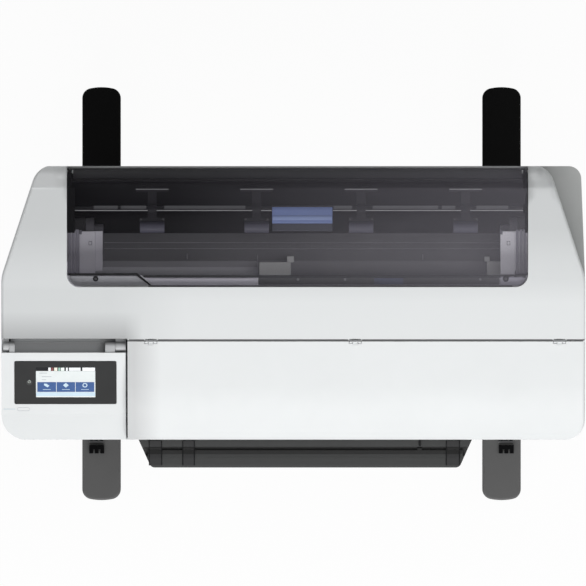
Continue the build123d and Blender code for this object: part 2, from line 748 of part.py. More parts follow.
def top_housing(outer, inner):
    """White upper shell with the roll cover's opening, its rim, hinge bosses and the panel's shelf."""
    shell = outer - inner
    opening = extrude_z(opening_outline(0), height(COVER_SLOT_Z), height(2 * BODY_HEIGHT))
    below = block(-BODY_WIDTH, BODY_WIDTH, -BODY_WIDTH, BODY_WIDTH, 0, height(PAN_HEIGHT))
    shell = shell - opening - below
    front_zone = block(COVER_SPLIT_X, BODY_WIDTH, -BODY_WIDTH, SEAM_Y + FRONT_SEAM_TRAIL,
                       0, 2 * STAND_HEIGHT)
    shell = shell - front_zone - panel_zone(PANEL_GAP)
    shell += panel_shelf(outer)
    shell += opening_rim(outer)
    shell += cover_bosses(inner)
    shell = housing_knuckles(shell)
    return shell


def panel_shelf(outer):
    """Skin under the control panel, with the fixed knuckles of the panel's hinge."""
    skin = panel_zone(PANEL_GAP + SHELL_WALL) - panel_zone(PANEL_GAP)
    skin = skin & outer & block(-BODY_WIDTH, COVER_SPLIT_X - PANEL_GAP, -BODY_WIDTH, BODY_WIDTH,
                                height(PAN_HEIGHT), height(BODY_HEIGHT))
    low, high = panel_knuckle_ends()
    bottom = height(GROOVE_Z - PANEL_GAP - SHELL_WALL / 2)
    for x_low, x_high in ((low - LEFT_KNUCKLE_WIDTH, low), (high, PANEL_RIGHT)):
        knuckle = rod_x(PANEL_KNUCKLE_RADIUS, x_low, x_high, PANEL_HINGE_Y, height(PANEL_HINGE_Z))
        web = block(x_low, x_high, PANEL_HINGE_Y - PANEL_KNUCKLE_RADIUS / 2, GROOVE_REAR - SHELL_WALL / 2,
                    bottom, height(PANEL_HINGE_Z))
        skin += knuckle + web
    return skin - panel_pins(0)


def panel_knuckle_ends():
    """X places where the fixed knuckles of the panel's hinge end."""
    half = BODY_WIDTH / 2
    return -half + SHELL_WALL + LEFT_KNUCKLE_WIDTH, PANEL_RIGHT - RIGHT_KNUCKLE_WIDTH


def panel_pins(gap):
    """The two pins of the panel's hinge, or their bores with a gap."""
    low, high = panel_knuckle_ends()
    z = height(PANEL_HINGE_Z)
    extra = SIDE_GAP if gap else 0
    left = rod_x(PANEL_PIN_RADIUS + gap, low - LEFT_KNUCKLE_WIDTH, low + LEFT_KNUCKLE_WIDTH + extra,
                 PANEL_HINGE_Y, z)
    right = rod_x(PANEL_PIN_RADIUS + gap, high - RIGHT_KNUCKLE_WIDTH - extra, PANEL_RIGHT, PANEL_HINGE_Y, z)
    return left + right


def opening_rim(outer):
    """Turned-down edge round the roll cover's opening."""
    ring = offset(opening_outline(0), amount=SHELL_WALL, kind=Kind.INTERSECTION) - opening_outline(0)
    band = outer - Pos(0, 0, -RIM_DEPTH) * outer
    prism = extrude_z(ring, height(COVER_SLOT_Z), height(2 * BODY_HEIGHT))
    kept = block(-BODY_WIDTH, BODY_WIDTH, -BODY_WIDTH, BODY_REAR - SHELL_WALL, 0, 2 * STAND_HEIGHT)
    return band & prism & kept


def cover_bosses(inner):
    """Blocks beside the opening that hold the roll cover's pins."""
    length = 4 * COVER_PIN_RADIUS
    bosses = []
    for x in (COVER_LEFT - SHELL_WALL - length / 2, COVER_RIGHT + SHELL_WALL + length / 2):
        bosses.append(block(x - length / 2 - SHELL_WALL, x + length / 2 + SHELL_WALL,
                            BAY_REAR + BAY_SIDE_GAP, BODY_REAR, height(COVER_SLOT_Z), height(BODY_HEIGHT)))
    lump = (bosses[0] + bosses[1]) & inner
    return lump - cover_pins()


def cover_pins():
    """Pins of the roll cover's hinge, one at each end."""
    z = height(COVER_HINGE_Z)
    inward = COVER_GAP + COVER_LUG_WIDTH + 2 * SIDE_GAP
    outward = 4 * COVER_PIN_RADIUS
    left = rod_x(COVER_PIN_RADIUS, COVER_LEFT - outward, COVER_LEFT + inward, COVER_HINGE_Y, z)
    right = rod_x(COVER_PIN_RADIUS, COVER_RIGHT - inward, COVER_RIGHT + outward, COVER_HINGE_Y, z)
    return left + right


def knuckle_pins():
    """Pins of the front cover's hinges."""
    y, z = front_axis()
    reach = KNUCKLE_WIDTH / 2 + KNUCKLE_GAP + KNUCKLE_SIDE_WIDTH
    pins = [rod_x(FRONT_PIN_RADIUS, x - reach, x + reach, y, z) for x in knuckle_places()]
    return pins[0] + pins[1] + pins[2]


def housing_knuckles(shell):
    """Adds the fixed knuckles of the front cover's hinges and makes room for the moving ones."""
    y, z = front_axis()
    inner = KNUCKLE_WIDTH / 2 + KNUCKLE_GAP
    outer = inner + KNUCKLE_SIDE_WIDTH
    for x in knuckle_places():
        shell -= rod_x(KNUCKLE_RADIUS + KNUCKLE_GAP, x - inner, x + inner, y, z)
        for low, high in ((x - outer, x - inner), (x + inner, x + outer)):
            shell += rod_x(KNUCKLE_RADIUS, low, high, y, z)
            shell += block(low, high, y, y + 2 * KNUCKLE_RADIUS, z - KNUCKLE_RADIUS, z)
    return shell - knuckle_pins()


def front_cover(outer, inner):
    """White cover over the print engine, with its end wall, inner side wall and hinge knuckles."""
    zone = block(COVER_SPLIT_X, BODY_WIDTH, -BODY_WIDTH, SEAM_Y - FRONT_SEAM_LEAD,
                 height(FRONT_COVER_BOTTOM), height(BODY_HEIGHT))
    cover = (outer - inner) & zone
    side = block(COVER_SPLIT_X, COVER_SPLIT_X + SHELL_WALL, -BODY_WIDTH, SEAM_Y - FRONT_SEAM_LEAD,
                 height(FRONT_COVER_BOTTOM), height(BODY_HEIGHT))
    cover += (outer - Pos(0, 0, -SIDE_BAND_DEPTH) * outer) & side
    y, z = front_axis()
    half = KNUCKLE_WIDTH / 2
    reach = half + KNUCKLE_GAP + KNUCKLE_SIDE_WIDTH + KNUCKLE_GAP
    for x in knuckle_places():
        cover -= rod_x(KNUCKLE_RADIUS + KNUCKLE_GAP, x - reach, x + reach, y, z)
        cover += rod_x(KNUCKLE_RADIUS, x - half, x + half, y, z)
        cover += block(x - half, x + half, y - 2 * KNUCKLE_RADIUS, y, z - KNUCKLE_RADIUS, z)
        cover -= rod_x(FRONT_PIN_RADIUS + RUNNING_GAP, x - reach, x + reach, y, z)
    return cover


def roll_cover_window(outer, inner):
    """Smoky see-through cover, curved down over the rear edge."""
    prism = extrude_z(opening_outline(COVER_GAP), height(COVER_SKIRT_Z), height(2 * BODY_HEIGHT))
    return (outer - inner) & prism


def roll_cover_frame(inner):
    """Black side rails under the cover, with its hinge lugs and the hangers of the pressure bar."""
    z = height(COVER_HINGE_Z)
    left = COVER_LEFT + COVER_GAP
    right = COVER_RIGHT - COVER_GAP
    band = inner - Pos(0, 0, -COVER_RAIL_DEPTH) * inner
    rails = block(left, left + LEFT_RAIL_WIDTH, RAIL_FRONT, CREASE_Y, 0, 2 * STAND_HEIGHT)
    rails += block(right - RIGHT_RAIL_WIDTH, right, RAIL_FRONT, CREASE_Y, 0, 2 * STAND_HEIGHT)
    frame = band & rails
    for low, high in ((left, left + COVER_LUG_WIDTH), (right - COVER_LUG_WIDTH, right)):
        lug = rod_x(COVER_LUG_RADIUS, low, high, COVER_HINGE_Y, z)
        lug += block(low, high, CREASE_Y - SHELL_WALL, COVER_HINGE_Y + COVER_LUG_RADIUS,
                     height(REAR_WALL_TOP), height(BODY_HEIGHT))
        lug += block(low, high, COVER_HINGE_Y - COVER_LUG_RADIUS, COVER_HINGE_Y + COVER_LUG_RADIUS, z,
                     height(BODY_HEIGHT))
        frame += lug & inner
    for low, high in ((left, left + HANGER_WIDTH), (right - HANGER_WIDTH, right)):
        hanger = rod_x(HANGER_RADIUS, low, high, BAR_Y, height(BAR_Z))
        hanger += block(low, high, BAR_Y - HANGER_RADIUS, BAR_Y + HANGER_RADIUS, height(BAR_Z),
                        height(BODY_HEIGHT))
        frame += hanger & inner
    frame -= rod_x(BAR_RADIUS + RUNNING_GAP, left, right, BAR_Y, height(BAR_Z))
    return frame - rod_x(COVER_PIN_RADIUS + RUNNING_GAP, left, right, COVER_HINGE_Y, z)


def bay_profile():
    """Side view of the roll bay's outer skin."""
    top = height(BODY_HEIGHT)
    return rounded_outline([
        (BAY_REAR, top, 0),
        (BAY_FRONT, top, 0),
        (BAY_FRONT, height(BAY_FLOOR), BAY_CORNER),
        (BAY_SLOPE_Y, height(BAY_FLOOR), BAY_BEND),
        (BAY_REAR, height(BAY_SLOPE_Z), BAY_CORNER),
    ])


def bay_ends():
    """Outer X places of the roll bay."""
    return COVER_LEFT - BAY_SIDE_GAP, COVER_RIGHT + BAY_SIDE_GAP


def roll_bay(outer):
    """Open-topped trough for the paper roll, with a front sill and the slot that the paper leaves by."""
    left, right = bay_ends()
    skin = extrude_x(bay_profile(), left, right)
    hollow_face = offset(bay_profile(), amount=-BAY_WALL, kind=Kind.INTERSECTION)
    hollow = extrude_x(hollow_face, left + BAY_WALL, right - BAY_WALL)
    hollow += block(left + BAY_WALL, right - BAY_WALL, BAY_FRONT + BAY_WALL, BAY_REAR - BAY_WALL,
                    height(ROLL_Z), height(BODY_HEIGHT) + BAY_WALL)
    bay = (skin - hollow) & (Pos(0, 0, -RIM_DEPTH) * outer)
    sill = block(left, right, COVER_FRONT - SHELL_WALL, BAY_FRONT + BAY_WALL, 0, 2 * STAND_HEIGHT)
    bay += (Pos(0, 0, -RIM_DEPTH) * outer - Pos(0, 0, -RIM_DEPTH - BAY_WALL) * outer) & sill
    half = PAPER_WIDTH / 2 + BAY_SLOT_HEIGHT
    return bay - block(PAPER_CENTRE - half, PAPER_CENTRE + half, COVER_FRONT, BAY_FRONT + 2 * BAY_WALL,
                       height(PAPER_PLANE - BAY_SLOT_HEIGHT / 2), height(PAPER_PLANE + BAY_SLOT_HEIGHT / 2))


def hub_faces():
    """X places of the inner ends of the left and right roll hubs."""
    return PAPER_CENTRE - ROLL_SPAN / 2, PAPER_CENTRE + ROLL_SPAN / 2


def roll_hub(face, side):
    """Hub that carries one end of the roll: boss for the core, flange and shaft."""
    z = height(ROLL_Z)
    flange_start = face + side * CORE_BOSS_LENGTH
    flange_end = flange_start + side * HUB_FLANGE_WIDTH
    shaft_end = flange_end + side * 2 * HUB_SHAFT_RADIUS
    boss = rod_x(CORE_BOSS_RADIUS, min(face, flange_start), max(face, flange_start), ROLL_Y, z)
    flange = rod_x(HUB_FLANGE_RADIUS, min(flange_start, flange_end), max(flange_start, flange_end),
                   ROLL_Y, z)
    shaft = rod_x(HUB_SHAFT_RADIUS, min(flange_end, shaft_end), max(flange_end, shaft_end), ROLL_Y, z)
    return boss + flange + shaft


def roll_support(face, side):
    """Block on the bay's wall, bored for a roll hub's shaft, with a stepped hood over the hub."""
    left, right = bay_ends()
    wall = left + BAY_WALL if side < 0 else right - BAY_WALL
    start = face + side * (CORE_BOSS_LENGTH + HUB_FLANGE_WIDTH + SIDE_GAP)
    bearing = block(min(start, wall), max(start, wall), SUPPORT_FRONT, SUPPORT_REAR,
                    height(SUPPORT_BOTTOM), height(SUPPORT_TOP))
    bearing = fillet(bearing.edges().filter_by(Axis.X), HUB_SHAFT_RADIUS)
    hood_low = SUPPORT_FRONT + HUB_SHAFT_RADIUS
    step = start - side * HOOD_REACH
    tip = step - side * LIP_REACH
    bearing += block(min(start, step), max(start, step), hood_low, HOOD_REAR,
                     height(SUPPORT_TOP - HOOD_THICKNESS), height(SUPPORT_TOP))
    bearing += block(min(step, tip), max(step, tip), hood_low, HOOD_REAR,
                     height(SUPPORT_TOP - HOOD_THICKNESS - LIP_DROP), height(SUPPORT_TOP - LIP_DROP))
    shaft_end = start + side * (2 * HUB_SHAFT_RADIUS)
    bore = rod_x(HUB_SHAFT_RADIUS + RUNNING_GAP, min(start, shaft_end), max(start, shaft_end),
                 ROLL_Y, height(ROLL_Z))
    return bearing - bore


def arm_places():
    """X places of the pressure arms."""
    first = ARM_CENTRE - ARM_PITCH * (ARM_COUNT - 1) / 2
    return [first + ARM_PITCH * index for index in range(ARM_COUNT)]


def pressure_bar():
    """Bar under the roll cover that the pressure arms are fixed to."""
    end = COVER_GAP + BAR_RECESS
    return rod_x(BAR_RADIUS, COVER_LEFT + end, COVER_RIGHT - end, BAR_Y, height(BAR_Z))


def roller_axis():
    """Y and Z of the pressure rollers' common axis."""
    return BAR_Y - ARM_REACH, height(BAR_Z - ARM_DROP)


def pressure_arms():
    """T-shaped arms: a wide tail plate, a narrow stem on the bar and two cheeks for the roller."""
    y, z = roller_axis()
    bar_z = height(BAR_Z)
    half = ROLLER_WIDTH / 2
    arms = []
    for x in arm_places():
        tail = block(x - ARM_TAIL_WIDTH / 2, x + ARM_TAIL_WIDTH / 2, BAR_Y + ARM_TAIL - ARM_THICKNESS,
                     BAR_Y + ARM_TAIL, bar_z - ARM_THICKNESS / 2, bar_z + ARM_THICKNESS / 2)
        stem = block(x - ARM_STEM_WIDTH / 2, x + ARM_STEM_WIDTH / 2, y + ROLLER_RADIUS + 2 * SIDE_GAP,
                     BAR_Y + ARM_TAIL, bar_z - ARM_THICKNESS / 2, bar_z + ARM_THICKNESS / 2)
        sleeve = rod_x(BAR_RADIUS + ROLLER_CHEEK, x - ARM_STEM_WIDTH / 2, x + ARM_STEM_WIDTH / 2,
                       BAR_Y, bar_z)
        bridge = block(x - half - SIDE_GAP - ROLLER_CHEEK, x + half + SIDE_GAP + ROLLER_CHEEK,
                       y + ROLLER_RADIUS + 2 * SIDE_GAP, y + ROLLER_RADIUS + 2 * SIDE_GAP + ARM_THICKNESS,
                       z - ARM_THICKNESS / 2, bar_z + ARM_THICKNESS / 2)
        arm = tail + stem + sleeve + bridge
        for side in (-1, 1):
            inner = x + side * (half + SIDE_GAP)
            far = inner + side * ROLLER_CHEEK
            arm += block(min(inner, far), max(inner, far), y - ARM_THICKNESS,
                         y + ROLLER_RADIUS + 2 * SIDE_GAP, z - ARM_THICKNESS, z + ARM_THICKNESS)
        arm -= rod_x(BAR_RADIUS, x - ARM_TAIL_WIDTH, x + ARM_TAIL_WIDTH, BAR_Y, bar_z)
        arm -= rod_x(ROLLER_SHAFT_RADIUS + RUNNING_GAP, x - ARM_TAIL_WIDTH, x + ARM_TAIL_WIDTH, y, z)
        arms.append(arm.solid())
    return Compound(children=arms)


def pressure_rollers():
    """A roller on its spindle in each pressure arm."""
    y, z = roller_axis()
    half = ROLLER_WIDTH / 2
    reach = half + SIDE_GAP + ROLLER_CHEEK
    rollers = []
    for x in arm_places():
        roller = rod_x(ROLLER_RADIUS, x - half, x + half, y, z)
        roller = fillet(roller.edges().filter_by(GeomType.CIRCLE), SIDE_GAP)
        rollers.append((roller + rod_x(ROLLER_SHAFT_RADIUS, x - reach, x + reach, y, z)).solid())
    return Compound(children=rollers)


def blue_grip():
    """Finger grip in the middle of the bar."""
    z = height(BAR_Z)
    rear = BAR_Y + GRIP_SETBACK
    grip = block(GRIP_CENTRE - GRIP_WIDTH / 2, GRIP_CENTRE + GRIP_WIDTH / 2, rear - GRIP_LENGTH, rear,
                 z - GRIP_THICKNESS / 2, z + GRIP_THICKNESS / 2)
    grip = fillet(grip.edges().filter_by(Axis.X), BAR_RADIUS)
    low = GRIP_CENTRE - GRIP_WIDTH / 2
    high = GRIP_CENTRE + GRIP_WIDTH / 2
    grip += rod_x(BAR_RADIUS + ROLLER_CHEEK / 2, low, high, BAR_Y, z)
    return grip - rod_x(BAR_RADIUS, low, high, BAR_Y, z)


def panel_angle():
    """Slope of the control panel's face."""
    return math.atan2(PANEL_REAR_Z - PANEL_BEND_Z, PANEL_REAR - PANEL_BEND)


def panel_plane(x, y):
    """Plane on the panel's sloping face, its X along the printer and its Y up the slope."""
    slope = panel_angle()
    z = height(PANEL_REAR_Z) - (PANEL_REAR - y) * math.tan(slope)
    normal = (0, -math.sin(slope), math.cos(slope))
    return Plane(origin=(x, y, z), x_dir=(1, 0, 0), z_dir=normal)


def bezel_recess():
    """Pocket in the panel for the black bezel."""
    face = RectangleRounded(BEZEL_WIDTH + 2 * BEZEL_PROUD, BEZEL_LENGTH + 2 * BEZEL_PROUD, BEZEL_CORNER)
    pocket = Pos(0, 0, BEZEL_PROUD - BEZEL_THICKNESS) * extrude(face, BEZEL_THICKNESS)
    return panel_plane(BEZEL_CENTRE_X, BEZEL_CENTRE_Y) * pocket


def panel_housing():
    """White plate of the control panel with a turned-down edge, bezel pocket and hinge knuckles."""
    plate = extrude_x(panel_profile(0, 0, PANEL_THICKNESS), -BODY_WIDTH / 2, PANEL_RIGHT)
    floor = PANEL_WALL + BEZEL_THICKNESS
    hollow = extrude_x(panel_profile(floor, PANEL_WALL, PANEL_THICKNESS + PANEL_WALL),
                       -BODY_WIDTH / 2 + PANEL_WALL, PANEL_RIGHT - PANEL_WALL)
    plan = extrude_z(upper_outline(), height(0), height(BODY_HEIGHT))
    inner_plan = extrude_z(offset(upper_outline(), amount=-PANEL_WALL), height(0), height(BODY_HEIGHT))
    plate = (plate & plan) - (hollow & inner_plan)
    plate -= bezel_recess()
    low, high = panel_knuckle_ends()
    for x_low, x_high in ((low + SIDE_GAP / 2, low + LEFT_KNUCKLE_WIDTH),
                          (high - RIGHT_KNUCKLE_WIDTH, high - SIDE_GAP / 2)):
        z = height(PANEL_HINGE_Z)
        plate += rod_x(PANEL_KNUCKLE_RADIUS, x_low, x_high, PANEL_HINGE_Y, z)
        plate += block(x_low, x_high, PANEL_REAR - PANEL_WALL, PANEL_HINGE_Y, z - PANEL_KNUCKLE_RADIUS / 2,
                       z + PANEL_KNUCKLE_RADIUS)
    plate -= panel_plane(BEZEL_CENTRE_X + BUTTON_OFFSET_X, BEZEL_CENTRE_Y) * Cylinder(
        BUTTON_RADIUS + SIDE_GAP / 2, 4 * PANEL_THICKNESS)
    return plate - panel_pins(RUNNING_GAP)


def panel_bezel():
    """Black surround of the display, bored for the power button."""
    bezel = extrude(RectangleRounded(BEZEL_WIDTH, BEZEL_LENGTH, BEZEL_CORNER), BEZEL_THICKNESS)
    display = Pos(DISPLAY_OFFSET_X, 0, BEZEL_THICKNESS - DISPLAY_THICKNESS / 2)
    bezel -= display * Box(DISPLAY_WIDTH, DISPLAY_LENGTH, DISPLAY_THICKNESS)
    bezel -= Pos(BUTTON_OFFSET_X, 0, 0) * Cylinder(BUTTON_RADIUS + BUTTON_GAP, 4 * BEZEL_THICKNESS)
    return panel_plane(BEZEL_CENTRE_X, BEZEL_CENTRE_Y) * (Pos(0, 0, BEZEL_PROUD - BEZEL_THICKNESS) * bezel)


def display_glass():
    """Touch display, set flush in the bezel."""
    glass = Pos(DISPLAY_OFFSET_X, 0, BEZEL_PROUD - DISPLAY_THICKNESS / 2)
    glass = glass * Box(DISPLAY_WIDTH, DISPLAY_LENGTH, DISPLAY_THICKNESS)
    return panel_plane(BEZEL_CENTRE_X, BEZEL_CENTRE_Y) * glass


def power_button():
    """Round button beside the display."""
    place = Pos(BUTTON_OFFSET_X, 0, BEZEL_PROUD - BUTTON_HEIGHT / 2)
    return panel_plane(BEZEL_CENTRE_X, BEZEL_CENTRE_Y) * (place * Cylinder(BUTTON_RADIUS, BUTTON_HEIGHT))


def feed_axis():
    """Y and Z of the feed roller."""
    return FEED_Y, height(PAPER_PLANE - FEED_RADIUS)


def pinch_axis():
    """Y and Z of the pinch roller above the feed roller."""
    return FEED_Y, height(PAPER_PLANE + PINCH_GAP + PINCH_RADIUS)


def output_axis():
    """Y and Z of the output roller."""
    return OUTPUT_Y, height(PAPER_PLANE - OUTPUT_RADIUS)


def pinion_axis():
    """Y and Z of the motor's pinion, in mesh with the feed roller's gear."""
    y, z = feed_axis()
    distance = GEAR_MODULE * (GEAR_TEETH + PINION_TEETH) / 2
    angle = math.radians(PINION_ANGLE)
    return y + distance * math.cos(angle), z + distance * math.sin(angle)


def roller_span():
    """X places where the rollers' wide part starts and ends."""
    return PAPER_CENTRE - PAPER_WIDTH / 2 - SHELL_WALL, PAPER_CENTRE + PAPER_WIDTH / 2 + SHELL_WALL


def gear_face(teeth, phase):
    """Spur gear's face with straight-sided teeth."""
    pitch_radius = GEAR_MODULE * teeth / 2
    root = pitch_radius - GEAR_ROOT_DEPTH * GEAR_MODULE
    tip = pitch_radius + GEAR_MODULE
    half_tooth = (math.pi * GEAR_MODULE / 2 - GEAR_BACKLASH) / 2
    slope = math.tan(math.radians(GEAR_TOOTH_SLOPE))
    root_half = (half_tooth + slope * (pitch_radius - root)) / root
    tip_half = (half_tooth - slope * GEAR_MODULE) / tip
    points = []
    for tooth in range(teeth):
        middle = math.radians(phase) + 2 * math.pi * tooth / teeth
        for radius, turn in ((root, -root_half), (tip, -tip_half), (tip, tip_half), (root, root_half)):
            points.append((radius * math.cos(middle + turn), radius * math.sin(middle + turn)))
    return make_face(Polyline(*points, close=True))


def gear_place():
    """X places of the gear's two faces."""
    end = LEFT_FRAME_X - GEAR_FRAME_GAP
    return end - GEAR_WIDTH, end


def feed_roller():
    """Feed roller with its shaft and its gear at the left end."""
    y, z = feed_axis()
    low, high = roller_span()
    start, end = gear_place()
    shaft = rod_x(FEED_SHAFT_RADIUS, start, RIGHT_FRAME_X + FRAME_THICKNESS, y, z)
    gear = extrude_x(Pos(y, z) * gear_face(GEAR_TEETH, PINION_ANGLE), start, end)
    return shaft + rod_x(FEED_RADIUS, low, high, y, z) + gear


def motor_pinion():
    """Pinion on the feed motor's shaft."""
    y, z = pinion_axis()
    start, end = gear_place()
    phase = PINION_ANGLE + 180 + 180 / PINION_TEETH
    pinion = extrude_x(Pos(y, z) * gear_face(PINION_TEETH, phase), start, end)
    return pinion + rod_x(MOTOR_SHAFT_RADIUS, start - 4 * MOTOR_SHAFT_RADIUS, end, y, z)


def pinch_rollers():
    """Pinch roller over the feed roller."""
    y, z = pinch_axis()
    low, high = roller_span()
    shaft = rod_x(PINCH_SHAFT_RADIUS, LEFT_FRAME_X, RIGHT_FRAME_X + FRAME_THICKNESS, y, z)
    return shaft + rod_x(PINCH_RADIUS, low, high, y, z)


def output_roller():
    """Roller that carries the print out of the engine."""
    y, z = output_axis()
    low, high = roller_span()
    shaft = rod_x(OUTPUT_SHAFT_RADIUS, LEFT_FRAME_X, RIGHT_FRAME_X + FRAME_THICKNESS, y, z)
    return shaft + rod_x(OUTPUT_RADIUS, low, high, y, z)


def engine_bores():
    """Holes in the side frames for the three roller shafts."""
    bores = []
    for (y, z), radius in ((feed_axis(), FEED_SHAFT_RADIUS), (pinch_axis(), PINCH_SHAFT_RADIUS),
                           (output_axis(), OUTPUT_SHAFT_RADIUS)):
        bores.append(rod_x(radius + RUNNING_GAP, -BODY_WIDTH, BODY_WIDTH, y, z))
    return bores[0] + bores[1] + bores[2]


def side_frame_left():
    """Left engine plate, stepped down under the control panel, with a slot for the belt."""
    top = height(FRAME_TOP)
    under = PANEL_THICKNESS + PANEL_GAP + 3 * SHELL_WALL
    profile = rounded_outline([
        (FRAME_REAR, height(PAN_WALL), 0),
        (FRAME_REAR, top, 0),
        (GROOVE_REAR + 2 * SHELL_WALL, top, 0),
        (GROOVE_REAR + 2 * SHELL_WALL, height(PANEL_REAR_Z - under), 0),
        (PANEL_REAR, height(PANEL_REAR_Z - under), 0),
        (PANEL_BEND, height(PANEL_BEND_Z - under), 0),
        (FRAME_FRONT, height(PANEL_NOSE_Z - under), 0),
        (FRAME_FRONT, height(PAN_WALL), 0),
    ])
    plate = extrude_x(profile, LEFT_FRAME_X, LEFT_FRAME_X + FRAME_THICKNESS) - engine_bores()
    reach = PULLEY_RADIUS + BELT_THICKNESS + SIDE_GAP
    plate -= block(2 * LEFT_FRAME_X, 0, BELT_Y - reach, BELT_Y + reach,
                   height(BELT_Z) - BELT_WIDTH, height(BELT_Z) + BELT_WIDTH)
    return plate - guide_shaft()


def side_frame_right():
    """Right engine plate."""
    profile = rounded_outline([
        (FRAME_REAR, height(PAN_WALL), 0),
        (FRAME_REAR, height(FRAME_TOP), 0),
        (SEAM_Y, height(FRAME_TOP), 0),
        (FRAME_FRONT, height(PANEL_NOSE_Z), 0),
        (FRAME_FRONT, height(PAN_WALL), 0),
    ])
    plate = extrude_x(profile, RIGHT_FRAME_X, RIGHT_FRAME_X + FRAME_THICKNESS)
    return plate - engine_bores() - guide_shaft()


def guide_shaft():
    """Polished shaft that the carriage slides on."""
    return rod_x(GUIDE_RADIUS, LEFT_FRAME_X, RIGHT_FRAME_X + FRAME_THICKNESS, GUIDE_Y, height(GUIDE_Z))


def carriage_rail():
    """Folded steel rail behind the carriage, from frame to frame."""
    left = LEFT_FRAME_X + FRAME_THICKNESS
    beam = block(left, RIGHT_FRAME_X, RAIL_Y - RAIL_THICKNESS / 2, RAIL_Y + RAIL_THICKNESS / 2,
                 height(RAIL_BOTTOM), height(RAIL_TOP))
    hollow = block(left, RIGHT_FRAME_X, RAIL_Y, RAIL_Y + RAIL_THICKNESS,
                   height(RAIL_BOTTOM + FRAME_THICKNESS), height(RAIL_TOP - FRAME_THICKNESS))
    shelf = block(IDLER_PULLEY_X - 2 * PULLEY_RADIUS, RIGHT_FRAME_X, BELT_Y - PULLEY_RADIUS, RAIL_Y,
                  height(BELT_Z) - BELT_WIDTH / 2 - PULLEY_FLANGE - SIDE_GAP - FRAME_THICKNESS,
                  height(BELT_Z) - BELT_WIDTH / 2 - PULLEY_FLANGE - SIDE_GAP)
    pin_low = height(BELT_Z) - BELT_WIDTH / 2 - PULLEY_FLANGE - SIDE_GAP - FRAME_THICKNESS
    pin = rod_z(MOTOR_SHAFT_RADIUS, IDLER_PULLEY_X, BELT_Y, pin_low, height(BELT_Z) + BELT_WIDTH)
    return beam - hollow + shelf + pin


def belt_loop(extra):
    """Plan of the belt's loop round both pulleys, grown by an extra."""
    radius = PULLEY_RADIUS + extra
    middle = (DRIVE_PULLEY_X + IDLER_PULLEY_X) / 2
    length = IDLER_PULLEY_X - DRIVE_PULLEY_X
    return Pos(middle, BELT_Y) * SlotCenterToCenter(length, 2 * radius)


def drive_belt():
    """Belt that pulls the carriage."""
    low = height(BELT_Z) - BELT_WIDTH / 2
    return extrude_z(belt_loop(BELT_GAP + BELT_THICKNESS) - belt_loop(BELT_GAP), low, low + BELT_WIDTH)


def belt_pulley(x, pin_radius):
    """Flanged pulley of the belt, bored for its pin."""
    low = height(BELT_Z) - BELT_WIDTH / 2
    high = low + BELT_WIDTH
    flange = PULLEY_RADIUS + BELT_THICKNESS + BELT_GAP
    gap = BELT_GAP / 2
    pulley = rod_z(PULLEY_RADIUS, x, BELT_Y, low - gap, high + gap)
    pulley += rod_z(flange, x, BELT_Y, low - gap - PULLEY_FLANGE, low - gap)
    pulley += rod_z(flange, x, BELT_Y, high + gap, high + gap + PULLEY_FLANGE)
    if pin_radius:
        return pulley - rod_z(pin_radius + RUNNING_GAP, x, BELT_Y, 0, 2 * STAND_HEIGHT)
    return pulley + rod_z(MOTOR_SHAFT_RADIUS, x, BELT_Y, low - 4 * PULLEY_FLANGE, high)


def drive_motors():
    """Carriage motor under the drive pulley and feed motor on legs beside the left frame."""
    y, z = pinion_axis()
    end = gear_place()[0] - GEAR_FRAME_GAP
    feed = rod_x(MOTOR_RADIUS, end - MOTOR_LENGTH, end, y, z)
    for turn in (-MOTOR_LEG_TURN, MOTOR_LEG_TURN):
        angle = math.radians(PINION_ANGLE + turn)
        reach = MOTOR_RADIUS - 2 * MOTOR_LEG_RADIUS
        leg_y = y + reach * math.cos(angle)
        leg_z = z + reach * math.sin(angle)
        feed += rod_x(MOTOR_LEG_RADIUS, end, LEFT_FRAME_X, leg_y, leg_z)
    feed -= rod_x(MOTOR_SHAFT_RADIUS + RUNNING_GAP, end - 4 * MOTOR_SHAFT_RADIUS, end, y, z)
    top = height(BELT_Z) - BELT_WIDTH / 2 - 2 * PULLEY_FLANGE - SIDE_GAP
    turn = rod_z(MOTOR_RADIUS, DRIVE_PULLEY_X, BELT_Y, top - MOTOR_LENGTH, top)
    turn += block(DRIVE_PULLEY_X - MOTOR_RADIUS, LEFT_FRAME_X, BELT_Y - MOTOR_RADIUS, BELT_Y + MOTOR_RADIUS,
                  top - MOTOR_LENGTH - FRAME_THICKNESS, top - MOTOR_LENGTH)
    turn -= rod_z(MOTOR_SHAFT_RADIUS + RUNNING_GAP, DRIVE_PULLEY_X, BELT_Y, top - 4 * PULLEY_FLANGE, top)
    return Compound(children=[feed.solid(), turn.solid()])


def platen():
    """Ribbed table that the paper lies on while it is printed."""
    low, high = roller_span()
    top = height(PAPER_PLANE)
    table = block(low, high, PLATEN_FRONT, PLATEN_REAR, top - PLATEN_THICKNESS, top - PLATEN_RIB)
    pitch = (high - low - PLATEN_RIB) / (PLATEN_RIB_COUNT - 1)
    for index in range(PLATEN_RIB_COUNT):
        x = low + pitch * index
        table += block(x, x + PLATEN_RIB, PLATEN_FRONT, PLATEN_REAR, top - PLATEN_RIB, top)
    middle = (PLATEN_REAR + PLATEN_FRONT) / 2
    legs = block(low, high, middle - PLATEN_THICKNESS, middle + PLATEN_THICKNESS,
                 height(PAN_WALL), top - PLATEN_THICKNESS)
    return table + legs


